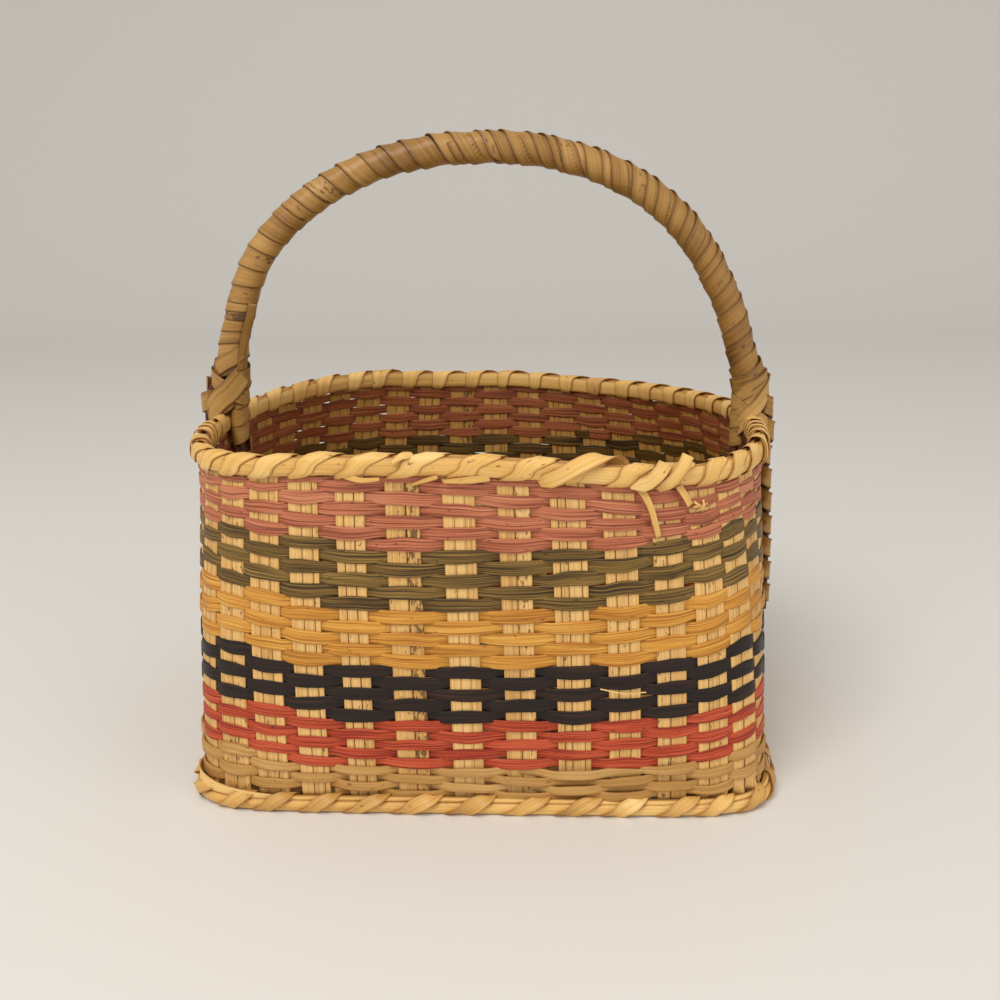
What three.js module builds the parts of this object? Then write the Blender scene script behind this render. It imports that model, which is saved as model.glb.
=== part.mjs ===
import * as THREE from "three";

// A rectangular woven basket with a fixed bow handle. Sizes are in millimetres.
// X runs along the handle, the front faces -Y and Z is up.

// The wall runs from one rounded outline at the base to another at the rim, both measured at
// its middle, and its sides belly out between them by a share of the width.
const baseHalfWidth = 140;
const baseHalfDepth = 106.5;
const baseSquareness = 7.5;
const rimTaperWidth = 4;
const rimFlareDepth = 9;
const rimFrontSquareness = 3.2;
const rimBackSquareness = 2.1;
const rimHeight = 176;
const rimHalfWidth = baseHalfWidth - rimTaperWidth;
const rimHalfDepth = baseHalfDepth + rimFlareDepth;
const sideBelly = 0.02;
const bellyHeight = rimHeight / 2;
const twistHeight = bellyHeight / 3;

// Stakes are flat strips that cross the base and stand up in both opposite walls.
const frontStrips = 12;
const sideStrips = 9;
const stakeWidth = 8.3;
const stakeThickness = 0.9;
const stakeTopDrop = 3;
const stakeShift = 0.41;
const frontCrowding = 0.185;
const backCrowding = 0.06;

// Weavers: two strips of each colour chase each other in a spiral round the stakes.
const weaverThickness = 0.7;
const weaverGap = 0.76;
const weaverEndGap = 0.3;
const rowGap = 0.7;
const weaveBottom = 13.8;
const firstChange = 39;

// Height that one row of each colour takes. The rows stretch together to fill the wall.
const naturalPitch = 3.1;
const redPitch = 4.6;
const darkPitch = 5.44;
const ochrePitch = 5.6;
const olivePitch = 5.72;
const rosePitch = 4.57;

// Bands from the base up.
const bands = [
  { name: "natural", rows: 4, pitch: naturalPitch, colour: 0xcfa966 },
  { name: "red", rows: 5, pitch: redPitch, colour: 0xb8402c },
  { name: "dark", rows: 5, pitch: darkPitch, colour: 0x3a2a28 },
  { name: "ochre", rows: 5, pitch: ochrePitch, colour: 0xd29a48 },
  { name: "olive", rows: 5, pitch: olivePitch, colour: 0x605632 },
  { name: "rose", rows: 6, pitch: rosePitch, colour: 0xa85e50 },
];

// The rim has a hoop outside and a hoop inside the stakes, and one lashing round all.
const hoopThickness = 1.8;
const hoopHeight = 12;
const hoopGap = 0.8;
const hoopStepsPerStake = 4 / 3;
const lashingWidth = 7;
const lashingThickness = 1.2;
const lashingGap = 0.6;
const lashingBevel = 0.9;
const slantStretch = 1.5;
const rimLoops = 20;
const startPastLeg = 1.5;

// The foot is a rod round the base, stitched to the stakes by a lashing cut flat below.
const footThickness = 3.6;
const footGap = 1.2;
const footHeight = 7.6;
const rodStepsPerStake = 2;
const footLoops = 20;
const footLashingWidth = 3.2;
const footNeckWidth = 1.7;
const footLashingGap = 0.5;
const footInsideSink = 0.7;
const footInsideRoom = 0.3;
const footCut = 0.5;

// The base is a plain weave of the stakes themselves.
const baseLift = 3.9;
const baseCrimp = 1.55;
const baseStripWidth = 12;
const baseStripShare = 0.44;
const bendSize = 3.2;
const bendTilt = 0.5;

// The handle is a pair of flat bows wrapped together, whose legs straddle the rim.
const handleOverhang = 2.5;
const handleRise = 128;
const springDrop = 1;
const handleSquareness = 2.15;
const bowWidth = 10;
const bowThickness = 4.6;
const bowGap = 0.4;
const spreadRise = 24;
const legStandoff = 8.6;
const legThickness = 3.4;
const legRise = 2;
const outerLegDepth = 114;
const innerLegDepth = 106;
const wrapLoops = 21;
const wrapThickness = 1.2;
const wrapGap = 1.2;
const wrapSpacing = 3;
const legWrapLoops = 5;
const legWrapWidth = 7;
const legWrapDrop = 10;
const legWrapSlack = 0.9;
const tieWidth = 1.2;
const tieThickness = 1;
const tieGap = 0.3;
const tieBevel = 1.5;
const tieOpening = 1.2;

const handleHalfSpan = rimHalfWidth + handleOverhang;
const handleTop = rimHeight + handleRise;
const handleSpring = rimHeight - springDrop;
const spreadTop = rimHeight + spreadRise;
const outerLegEnd = rimHeight - outerLegDepth;
const innerLegEnd = rimHeight - innerLegDepth;

const stakeCount = 2 * (frontStrips + sideStrips);
const quarterSpan = stakeCount / 4;
const rightPlace = quarterSpan;
const leftPlace = 3 * quarterSpan;
const up = new THREE.Vector3(0, 0, 1);
const across = new THREE.Vector3(0, 1, 0);

function splintMaterial(color) {
  return new THREE.MeshStandardMaterial({ color, roughness: 0.6, metalness: 0 });
}

const stakeMaterial = splintMaterial(0xd4af70);
const caneMaterial = splintMaterial(0xcda055);
const wrapMaterial = splintMaterial(0xb0864c);
const bowMaterial = splintMaterial(0x8a5c34);

const basket = new THREE.Group();
basket.name = "woven_basket";

function addPiece(name, geometry, material) {
  const piece = new THREE.Mesh(geometry, material);
  piece.name = name;
  basket.add(piece);
}

// One quarter of a superellipse, from the middle of the front or back to the middle of the side.
function quarterCurve(halfWidth, halfDepth, squareness) {
  const points = [];
  const steps = 48;
  for (let step = 0; step <= steps; step += 1) {
    const angle = ((Math.PI / 2) * step) / steps;
    const across = (Math.sin(angle) / halfWidth) ** squareness;
    const along = (Math.cos(angle) / halfDepth) ** squareness;
    const radius = (across + along) ** (-1 / squareness);
    points.push(new THREE.Vector2(Math.sin(angle) * radius, Math.cos(angle) * radius));
  }
  const curve = new THREE.SplineCurve(points);
  curve.arcLengthDivisions = 400;
  return curve;
}

const baseCurve = quarterCurve(baseHalfWidth, baseHalfDepth, baseSquareness);
const rimFrontCurve = quarterCurve(rimHalfWidth, rimHalfDepth, rimFrontSquareness);
const rimBackCurve = quarterCurve(rimHalfWidth, rimHalfDepth, rimBackSquareness);

// A place counts stake spacings, counter-clockwise from the front. Places stand to the right of
// the middle by the stake shift in front and behind, and by nothing at the sides.
function outlinePoint(place, frontCurve, backCurve, frontCrowd, backCrowd) {
  const turns = place / stakeCount;
  const fromFront = (turns - Math.round(turns)) * stakeCount;
  const onBack = Math.abs(fromFront) > quarterSpan;
  const fromBack = Math.sign(fromFront) * (stakeCount / 2 - Math.abs(fromFront));
  const fromMiddle = onBack ? fromBack : fromFront;
  const shift = stakeShift * Math.cos((Math.PI * fromMiddle) / (2 * quarterSpan));
  const share = (fromMiddle + shift) / quarterSpan;
  const crowding = onBack ? backCrowd : frontCrowd;
  const arc = Math.abs(share + (crowding * Math.sin(2 * Math.PI * share)) / (2 * Math.PI));
  const point = (onBack ? backCurve : frontCurve).getPointAt(THREE.MathUtils.clamp(arc, 0, 1));
  return new THREE.Vector2(Math.sign(share) * point.x, onBack ? point.y : -point.y);
}

function wallPoint(place, height) {
  const low = outlinePoint(place, baseCurve, baseCurve, frontCrowding, frontCrowding);
  const high = outlinePoint(place, rimFrontCurve, rimBackCurve, frontCrowding, backCrowding);
  const blend = low.lerp(high, height / rimHeight);
  const belly = 1 + sideBelly * Math.min(height / bellyHeight, 2 - height / bellyHeight);
  return new THREE.Vector3(belly * blend.x, blend.y, height);
}

function wallNormal(place, height) {
  const nearby = 0.25;
  const along = wallPoint(place + nearby, height).sub(wallPoint(place - nearby, height));
  const rising = wallPoint(place, height + 1).sub(wallPoint(place, height));
  return along.cross(rising).normalize();
}

function offWall(place, height, offset) {
  return wallPoint(place, height).addScaledVector(wallNormal(place, height), offset);
}

// Sections list corners as shares of half the width and half the thickness.
const flatSection = [[-1, -1], [1, -1], [1, 1], [-1, 1]];
const roundSection = [];
for (let corner = 0; corner < 6; corner += 1) {
  const angle = (Math.PI * corner) / 3;
  roundSection.push([-Math.cos(angle), -Math.sin(angle)]);
}

// Sweeps a section through stations. Each has a centre and the normal of its broad face, and
// may set its own width direction, width and thickness.
function sweep(stations, width, thickness, section = flatSection, closed = false) {
  const count = stations.length;
  const corners = [];
  for (let index = 0; index < count; index += 1) {
    const before = closed ? (index + count - 1) % count : Math.max(index - 1, 0);
    const after = closed ? (index + 1) % count : Math.min(index + 1, count - 1);
    const station = stations[index];
    const travel = stations[after].centre.clone().sub(stations[before].centre).normalize();
    const wide = station.wide ?? station.normal.clone().cross(travel).normalize();
    const thick = station.wide ? station.normal : travel.clone().cross(wide).normalize();
    for (const [sideways, out] of section) {
      const corner = station.centre.clone();
      corner.addScaledVector(wide, (sideways * (station.width ?? width)) / 2);
      corner.addScaledVector(thick, (out * (station.thickness ?? thickness)) / 2);
      corners.push(corner);
    }
  }
  const sides = section.length;
  const faces = [];
  const spans = closed ? count : count - 1;
  for (let span = 0; span < spans; span += 1) {
    const here = span * sides;
    const next = ((span + 1) % count) * sides;
    for (let side = 0; side < sides; side += 1) {
      const turn = (side + 1) % sides;
      faces.push(here + side, here + turn, next + turn);
      faces.push(here + side, next + turn, next + side);
    }
  }
  if (!closed) {
    const last = (count - 1) * sides;
    for (let side = 1; side < sides - 1; side += 1) {
      faces.push(0, side + 1, side);
      faces.push(last, last + side, last + side + 1);
    }
  }
  const geometry = new THREE.BufferGeometry().setFromPoints(corners);
  geometry.setIndex(faces);
  geometry.computeVertexNormals();
  return geometry;
}

// Prints the least distance between the corners of different loops of one winding.
function reportLoopGap(name, geometry, loops) {
  const points = geometry.getAttribute("position");
  const skipped = Math.floor((0.75 * points.count) / loops);
  const here = new THREE.Vector3();
  const there = new THREE.Vector3();
  let least = Infinity;
  for (let first = 0; first < points.count; first += 1) {
    here.fromBufferAttribute(points, first);
    for (let second = first + skipped; second < points.count; second += 1) {
      there.fromBufferAttribute(points, second);
      least = Math.min(least, here.distanceTo(there));
    }
  }
  console.log(`${name}: least gap between loops ${least.toFixed(2)} mm`);
}

// A stake runs down one wall, over and under across the base, and up the opposite wall.
function stakeStations(startPlace, endPlace, crossings, baseWidth) {
  const top = rimHeight - stakeTopDrop;
  const foot = baseLift + baseCrimp + bendSize;
  const inward = wallPoint(endPlace, 0).sub(wallPoint(startPlace, 0)).normalize();
  const under = up.clone().negate();
  const wallStations = (place) =>
    [top, bellyHeight, twistHeight, foot].map((height) => {
      const normal = wallNormal(place, height);
      if (height === foot) {
        normal.addScaledVector(under, bendTilt).normalize();
      }
      return { centre: wallPoint(place, height), normal };
    });
  const first = crossings[0];
  const last = crossings[crossings.length - 1];
  const startBend = wallPoint(startPlace, 0).addScaledVector(inward, bendSize).setZ(first.z);
  const endBend = wallPoint(endPlace, 0).addScaledVector(inward, -bendSize).setZ(last.z);
  const startOut = inward.clone().multiplyScalar(-bendTilt).add(under).normalize();
  const endOut = inward.clone().multiplyScalar(bendTilt).add(under).normalize();
  const bendWidth = Math.min(stakeWidth, baseWidth);
  const stations = wallStations(startPlace);
  stations.push({ centre: startBend, normal: startOut, width: bendWidth });
  for (const crossing of crossings) {
    stations.push({ centre: crossing, normal: under, width: baseWidth });
  }
  stations.push({ centre: endBend, normal: endOut, width: bendWidth });
  stations.push(...wallStations(endPlace).reverse());
  return stations;
}

// Front to back strips stand at these places in the front wall, from left to right.
const frontPlaces = [];
for (let strip = 0; strip < frontStrips; strip += 1) {
  frontPlaces.push(strip - (frontStrips - 1) / 2);
}
const sidePlaces = [];
for (let strip = 0; strip < sideStrips; strip += 1) {
  sidePlaces.push(quarterSpan + strip - (sideStrips - 1) / 2);
}

function crossingPoint(frontStrip, sideStrip, isFrontStrip) {
  const x = wallPoint(frontPlaces[frontStrip], 0).x;
  const y = wallPoint(sidePlaces[sideStrip], 0).y;
  const isOver = (frontStrip + sideStrip) % 2 === (isFrontStrip ? 0 : 1);
  return new THREE.Vector3(x, y, baseLift + (isOver ? baseCrimp : -baseCrimp));
}

// Strips lie wider in the base than in the wall, where their spacing leaves room for it.
function baseWidthAt(positions, strip) {
  const gaps = [positions[strip] - positions[strip - 1], positions[strip + 1] - positions[strip]];
  const spacing = Math.min(...gaps.filter(Number.isFinite));
  return Math.min(baseStripWidth, baseStripShare * spacing);
}

const frontLines = frontPlaces.map((place) => wallPoint(place, 0).x);
const sideLines = sidePlaces.map((place) => wallPoint(place, 0).y);

frontPlaces.forEach((place, strip) => {
  const crossings = sidePlaces.map((_, side) => crossingPoint(strip, side, true));
  const baseWidth = baseWidthAt(frontLines, strip);
  const stations = stakeStations(place, stakeCount / 2 - place, crossings, baseWidth);
  const name = `front_back_stake_${String(strip + 1).padStart(2, "0")}`;
  addPiece(name, sweep(stations, stakeWidth, stakeThickness), stakeMaterial);
});

sidePlaces.forEach((place, strip) => {
  const crossings = frontPlaces.map((_, front) => crossingPoint(front, strip, false));
  const baseWidth = baseWidthAt(sideLines, strip);
  const stations = stakeStations(stakeCount - place, place, crossings, baseWidth);
  const name = `left_right_stake_${String(strip + 1).padStart(2, "0")}`;
  addPiece(name, sweep(stations, stakeWidth, stakeThickness), stakeMaterial);
});

// The weave stops below the foot ties and the rim.
const weaveTop = rimHeight - hoopHeight - lashingGap - lashingThickness - tieWidth - 2 * tieGap;
const bandTotal = bands.reduce((height, band) => height + band.rows * band.pitch, 0);
const rowStretch = (weaveTop - weaveBottom) / bandTotal;
const totalRows = bands.reduce((rows, band) => rows + band.rows, 0);

// Height of the underside of a row, counted in rows from the base, with each band's own pitch.
function rowHeight(row) {
  let height = weaveBottom;
  let below = 0;
  for (const band of bands) {
    const covered = THREE.MathUtils.clamp(row - below, 0, band.rows);
    height += covered * band.pitch * rowStretch;
    below += band.rows;
  }
  return height;
}

// A weaver bows over each stake by what the stake's width and the wall's curve ask for.
function weaverPoint(place, height, isOutside) {
  const here = wallPoint(place, height);
  const left = wallPoint(place - 1, height);
  const right = wallPoint(place + 1, height);
  const normal = wallNormal(place, height);
  const spacing = Math.min(here.distanceTo(left), here.distanceTo(right));
  const curve = here.clone().sub(left.add(right).multiplyScalar(0.5)).dot(normal);
  const halfCover = stakeWidth / 2 / spacing;
  const reach = stakeThickness / 2 + weaverThickness / 2 + weaverGap;
  const swing = reach / (1 - 2 * halfCover);
  const offset = (isOutside ? swing : -swing) + curve * halfCover;
  return { centre: here.addScaledVector(normal, offset), normal };
}

// Steps count stakes from the first change of colour; the second weaver lags by half a turn.
function weaverStations(fromStep, toStep, lagRows) {
  const stations = [];
  for (let step = fromStep; step <= toStep; step += 1) {
    const row = (2 * step) / stakeCount + lagRows;
    if (row + 1 > totalRows) {
      break;
    }
    const low = rowHeight(row) + rowGap / 2;
    const high = rowHeight(row + 1) - rowGap / 2;
    const place = firstChange + 0.5 + step;
    const isOutside = (firstChange + step + lagRows) % 2 === 0;
    const station = weaverPoint(place, (low + high) / 2, isOutside);
    station.width = high - low;
    station.thickness = weaverThickness;
    stations.push(station);
  }
  const first = stations[0].centre;
  const last = stations[stations.length - 1].centre;
  first.add(stations[1].centre.clone().sub(first).setLength(weaverEndGap));
  last.add(stations[stations.length - 2].centre.clone().sub(last).setLength(weaverEndGap));
  return stations;
}

const lagSteps = 2 * Math.floor(stakeCount / 4) + 1;
let rowsBelow = 0;
for (const band of bands) {
  const startStep = 2 * Math.round((rowsBelow * stakeCount) / 4);
  rowsBelow += band.rows;
  const endStep = 2 * Math.round((rowsBelow * stakeCount) / 4);
  const material = splintMaterial(band.colour);
  const first = weaverStations(startStep, endStep, 0);
  const second = weaverStations(startStep - lagSteps, endStep - lagSteps, 1);
  addPiece(`${band.name}_weaver_one`, sweep(first), material);
  addPiece(`${band.name}_weaver_two`, sweep(second), material);
}

// Hoops and the foot rod are closed rings that follow the wall at a set offset.
function ringStations(height, offset, perStake) {
  const stations = [];
  for (let step = 0; step < perStake * stakeCount; step += 1) {
    const place = step / perStake;
    stations.push({ centre: offWall(place, height, offset), normal: wallNormal(place, height) });
  }
  return stations;
}

function addRing(name, height, offset, ringHeight, ringThickness, perStake) {
  const stations = ringStations(height, offset, perStake);
  addPiece(name, sweep(stations, ringHeight, ringThickness, flatSection, true), caneMaterial);
}

const hoopMiddle = rimHeight - hoopHeight / 2;
const hoopOffset = stakeThickness / 2 + hoopGap + hoopThickness / 2;
addRing("outer_rim_hoop", hoopMiddle, hoopOffset, hoopHeight, hoopThickness, hoopStepsPerStake);
addRing("inner_rim_hoop", hoopMiddle, -hoopOffset, hoopHeight, hoopThickness, hoopStepsPerStake);

const footMiddle = footLashingGap + lashingThickness - footCut + footHeight / 2;
const footOffset = stakeThickness / 2 + footGap + footThickness / 2;
addRing("foot_rod", footMiddle, footOffset, footHeight, footThickness, rodStepsPerStake);

// A stitch lies with its broad face along a direction made of outward and upward shares.
// Its width runs along the wall, or up the wall where the stitch itself runs along it.
function stitchStation(place, offset, height, outward, upward, runsAlong = false) {
  const wall = wallNormal(place, height).setZ(0).normalize();
  const normal = wall.clone().multiplyScalar(outward).addScaledVector(up, upward).normalize();
  const along = up.clone().cross(wall);
  const wide = runsAlong ? normal.clone().cross(along) : along.negate();
  return { centre: offWall(place, height, offset), normal, wide };
}

// Each rim loop climbs the outer hoop, crosses the top, comes down inside and under the hoops.
// Its slanted stretch is cut along the rim, which makes the section there wider.
const lashingReach = hoopOffset + hoopThickness / 2 + lashingGap + lashingThickness / 2;
const lashingTop = rimHeight + lashingGap + lashingThickness / 2;
const lashingBottom = rimHeight - hoopHeight - lashingGap - lashingThickness / 2;
const rimStations = [];
for (let loop = 0; loop < rimLoops; loop += 1) {
  const place = leftPlace + startPastLeg + 2 * loop;
  const rise = [
    stitchStation(place, lashingReach - lashingBevel, lashingBottom, 0.5, -1),
    stitchStation(place + 0.06, lashingReach, lashingBottom + lashingBevel, 1, -0.5),
    stitchStation(place + 0.6, lashingReach, lashingTop - lashingBevel, 1, 0.5),
    stitchStation(place + 0.64, lashingReach - lashingBevel, lashingTop, 0.5, 1),
    stitchStation(place + 0.9, lashingBevel - lashingReach, lashingTop, -0.5, 1),
    stitchStation(place + 0.94, -lashingReach, lashingTop - lashingBevel, -1, 0.5),
    stitchStation(place + 1.94, -lashingReach, lashingBottom + lashingBevel, -1, -0.5),
    stitchStation(place + 2, lashingBevel - lashingReach, lashingBottom, -0.5, -1),
  ];
  for (const station of rise.slice(2, 6)) {
    station.width = slantStretch * lashingWidth;
  }
  rimStations.push(...rise);
}
const rimLashing = sweep(rimStations, lashingWidth, lashingThickness);
reportLoopGap("rim_lashing", rimLashing, rimLoops);
addPiece("rim_lashing", rimLashing, caneMaterial);

// Each foot stitch climbs the rod, goes in above it, passes behind a stake and out below.
const footReach = footOffset + footThickness / 2 + footLashingGap + lashingThickness / 2;
const footLow = lashingThickness / 2 - footCut;
const footHigh = footMiddle + footHeight / 2 + footLashingGap + lashingThickness / 2;
const footInside = -(stakeThickness / 2 + footLashingGap + lashingThickness / 2);
const insideHeight = footHigh + footLashingWidth / 2 - footInsideSink;
const footStations = [];
for (let loop = 0; loop < footLoops; loop += 1) {
  const place = 2 * loop;
  const behind = footInside - footInsideRoom;
  const stitch = [
    stitchStation(place, footReach - lashingBevel, footLow, 0, -1),
    stitchStation(place + 0.06, footReach, footLow + lashingBevel, 1, -0.5),
    stitchStation(place + 0.5, footReach, (footLow + footHigh) / 2, 1, 0),
    stitchStation(place + 0.94, footReach, footHigh - lashingBevel, 1, 0.5),
    stitchStation(place + 1, footReach - lashingBevel, footHigh, 0.5, 1),
    stitchStation(place + 1.15, behind, insideHeight, -1, 0.2, true),
    stitchStation(place + 1.85, behind, insideHeight, -1, 0, true),
    stitchStation(place + 2, footInside, footLow + lashingBevel, -1, -0.5),
    stitchStation(place + 2, footInside + lashingBevel, footLow, 0, -1),
  ];
  stitch[7].width = footNeckWidth;
  stitch[8].width = footNeckWidth;
  footStations.push(...stitch);
}
const footLashing = sweep(footStations, footLashingWidth, lashingThickness);
const footCorners = footLashing.getAttribute("position");
for (let corner = 0; corner < footCorners.count; corner += 1) {
  footCorners.setZ(corner, Math.max(footCorners.getZ(corner), 0));
}
reportLoopGap("foot_lashing", footLashing, footLoops);
addPiece("foot_lashing", footLashing, caneMaterial);

// The handle's middle line is half a superellipse above the spring line.
function handlePoint(angle) {
  const power = 2 / handleSquareness;
  const x = handleHalfSpan * Math.sign(Math.sin(angle)) * Math.abs(Math.sin(angle)) ** power;
  const z = handleSpring + (handleTop - handleSpring) * Math.cos(angle) ** power;
  return new THREE.Vector3(x, 0, z);
}

function handleNormal(angle) {
  const nearby = 0.01;
  const travel = handlePoint(angle + nearby).sub(handlePoint(angle - nearby)).normalize();
  return travel.cross(new THREE.Vector3(0, 1, 0)).normalize();
}

// A bow goes from its left leg's end over the top to its right leg's end.
const together = (bowThickness + bowGap) / 2;
const archAngle = 1.49;
const arcSteps = 22;
function bowStations(side, legEnd) {
  const stations = [];
  const hoopBottom = rimHeight - hoopHeight;
  const legHeights = [legEnd, bellyHeight, hoopBottom, rimHeight + legRise];
  const legStations = (place) =>
    legHeights.map((height) => {
      const centre = offWall(place, height, side * legStandoff);
      return { centre, normal: wallNormal(place, height), thickness: legThickness };
    });
  stations.push(...legStations(leftPlace));
  for (let step = 0; step <= arcSteps; step += 1) {
    const angle = archAngle * ((2 * step) / arcSteps - 1);
    const centre = handlePoint(angle);
    const spread = THREE.MathUtils.smoothstep(spreadTop - centre.z, 0, spreadTop - rimHeight);
    const apart = together + (legStandoff - together) * spread;
    const normal = handleNormal(angle);
    stations.push({ centre: centre.addScaledVector(normal, side * apart), normal });
  }
  stations.push(...legStations(rightPlace).reverse());
  return stations;
}

const outerBow = sweep(bowStations(1, outerLegEnd), bowWidth, bowThickness, roundSection);
const innerBow = sweep(bowStations(-1, innerLegEnd), bowWidth, bowThickness, roundSection);
addPiece("outer_handle_bow", outerBow, bowMaterial);
addPiece("inner_handle_bow", innerBow, bowMaterial);

// A wrap winds round a centre line, on an oval that clears the corners of what it holds.
const wrapSteps = 8;
function wrapStations(centreAt, loops, halfWide, halfThick) {
  const stations = [];
  const chordRoom = 1 / Math.cos(Math.PI / wrapSteps);
  const total = loops * wrapSteps;
  for (let step = 0; step <= total; step += 1) {
    const turn = (2 * Math.PI * step) / wrapSteps;
    const { centre, normal, side } = centreAt(step / total);
    const outward = normal.clone().multiplyScalar(Math.cos(turn) * halfThick * chordRoom);
    const sideways = side.clone().multiplyScalar(Math.sin(turn) * halfWide * chordRoom);
    const facing = normal.clone().multiplyScalar(Math.cos(turn) * halfWide);
    facing.addScaledVector(side, Math.sin(turn) * halfThick).normalize();
    stations.push({ centre: centre.clone().add(outward).add(sideways), normal: facing });
  }
  return stations;
}

const bundleCorners = roundSection.map(([sideways, out]) =>
  Math.hypot((sideways * bowWidth) / 2, together + (Math.abs(out) * bowThickness) / 2),
);
const wrapRadius = Math.max(...bundleCorners) + wrapGap + wrapThickness / 2;

// The handle is wrapped down to where its bows spread, short of a small bare angle.
const bareAngle = 0.04;
const spreadShare = (spreadTop - handleSpring) / (handleTop - handleSpring);
const wrapReach = Math.acos(spreadShare ** (handleSquareness / 2)) - bareAngle;
const archSteps = 60;
const archPoints = [];
for (let step = 0; step <= archSteps; step += 1) {
  archPoints.push(handlePoint(wrapReach * ((2 * step) / archSteps - 1)));
}
const archLine = new THREE.CatmullRomCurve3(archPoints);
archLine.arcLengthDivisions = 600;
const wrapPitch = archLine.getLength() / wrapLoops;
const handleWrap = sweep(
  wrapStations(
    (share) => {
      const normal = archLine.getTangentAt(share).cross(across).normalize();
      return { centre: archLine.getPointAt(share), normal, side: across };
    },
    wrapLoops,
    wrapRadius,
    wrapRadius,
  ),
  wrapPitch - wrapSpacing,
  wrapThickness,
);
reportLoopGap("handle_wrap", handleWrap, wrapLoops);
addPiece("handle_wrap", handleWrap, wrapMaterial);

// The right outer leg has its own open wrap below the rim.
const legWrapTop = rimHeight - hoopHeight - legWrapDrop;
const legWrapStart = outerLegEnd + legWrapWidth;
const legWrap = sweep(
  wrapStations(
    (share) => {
      const height = THREE.MathUtils.lerp(legWrapTop, legWrapStart, share);
      const normal = wallNormal(rightPlace, height);
      return { centre: offWall(rightPlace, height, legStandoff), normal, side: across };
    },
    legWrapLoops,
    bowWidth / 2 + wrapGap + wrapThickness / 2,
    legThickness / 2 + wrapGap + wrapThickness / 2 + legWrapSlack,
  ),
  legWrapWidth,
  wrapThickness,
);
reportLoopGap("right_leg_wrap", legWrap, legWrapLoops);
addPiece("right_leg_wrap", legWrap, wrapMaterial);

// A tie goes round both legs of a foot, through the wall on either side of the middle stake.
function addFootTie(name, place) {
  const height = weaveTop + tieGap + tieWidth / 2;
  const normal = wallNormal(place, height).setZ(0).normalize();
  const centre = wallPoint(place, height);
  const halfLong = legStandoff + legThickness / 2 + wrapGap + tieThickness / 2;
  const halfWide = bowWidth / 2 + wrapGap + tieThickness / 2;
  const outline = [
    [halfLong, tieOpening / 2, 1, 0],
    [halfLong, halfWide - tieBevel, 1, 0.4],
    [halfLong - tieBevel, halfWide, 0.4, 1],
    [tieBevel - halfLong, halfWide, -0.4, 1],
    [-halfLong, halfWide - tieBevel, -1, 0.4],
    [-halfLong, tieBevel - halfWide, -1, -0.4],
    [tieBevel - halfLong, -halfWide, -0.4, -1],
    [halfLong - tieBevel, -halfWide, 0.4, -1],
    [halfLong, tieBevel - halfWide, 1, -0.4],
    [halfLong, -tieOpening / 2, 1, 0],
  ];
  const side = up.clone().cross(normal);
  const stations = outline.map(([out, sideways, faceOut, faceSide]) => ({
    centre: centre.clone().addScaledVector(normal, out).addScaledVector(side, sideways),
    normal: normal.clone().multiplyScalar(faceOut).addScaledVector(side, faceSide).normalize(),
  }));
  addPiece(name, sweep(stations, tieWidth, tieThickness), caneMaterial);
}

addFootTie("left_foot_tie", leftPlace);
addFootTie("right_foot_tie", rightPlace);

// The origin is under the middle of the whole basket, on the ground.
const box = new THREE.Box3().setFromObject(basket);
const middle = box.getCenter(new THREE.Vector3());
basket.position.set(-middle.x, -middle.y, -box.min.z);

export default basket;
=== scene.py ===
import bpy
import numpy as np
from mathutils import Matrix


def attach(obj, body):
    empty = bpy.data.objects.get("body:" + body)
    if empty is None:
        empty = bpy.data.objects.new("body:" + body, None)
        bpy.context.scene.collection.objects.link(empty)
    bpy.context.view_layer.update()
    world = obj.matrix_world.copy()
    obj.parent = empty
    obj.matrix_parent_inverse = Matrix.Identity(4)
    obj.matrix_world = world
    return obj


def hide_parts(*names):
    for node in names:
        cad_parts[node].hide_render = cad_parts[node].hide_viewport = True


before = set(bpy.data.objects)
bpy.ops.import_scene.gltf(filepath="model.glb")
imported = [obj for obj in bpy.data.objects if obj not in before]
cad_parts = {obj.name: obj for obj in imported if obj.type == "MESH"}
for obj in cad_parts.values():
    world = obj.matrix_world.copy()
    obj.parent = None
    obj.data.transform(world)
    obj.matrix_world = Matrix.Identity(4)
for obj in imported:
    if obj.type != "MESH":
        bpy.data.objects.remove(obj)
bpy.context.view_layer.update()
print("frame loaded")

chance = np.random.default_rng(11)

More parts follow.
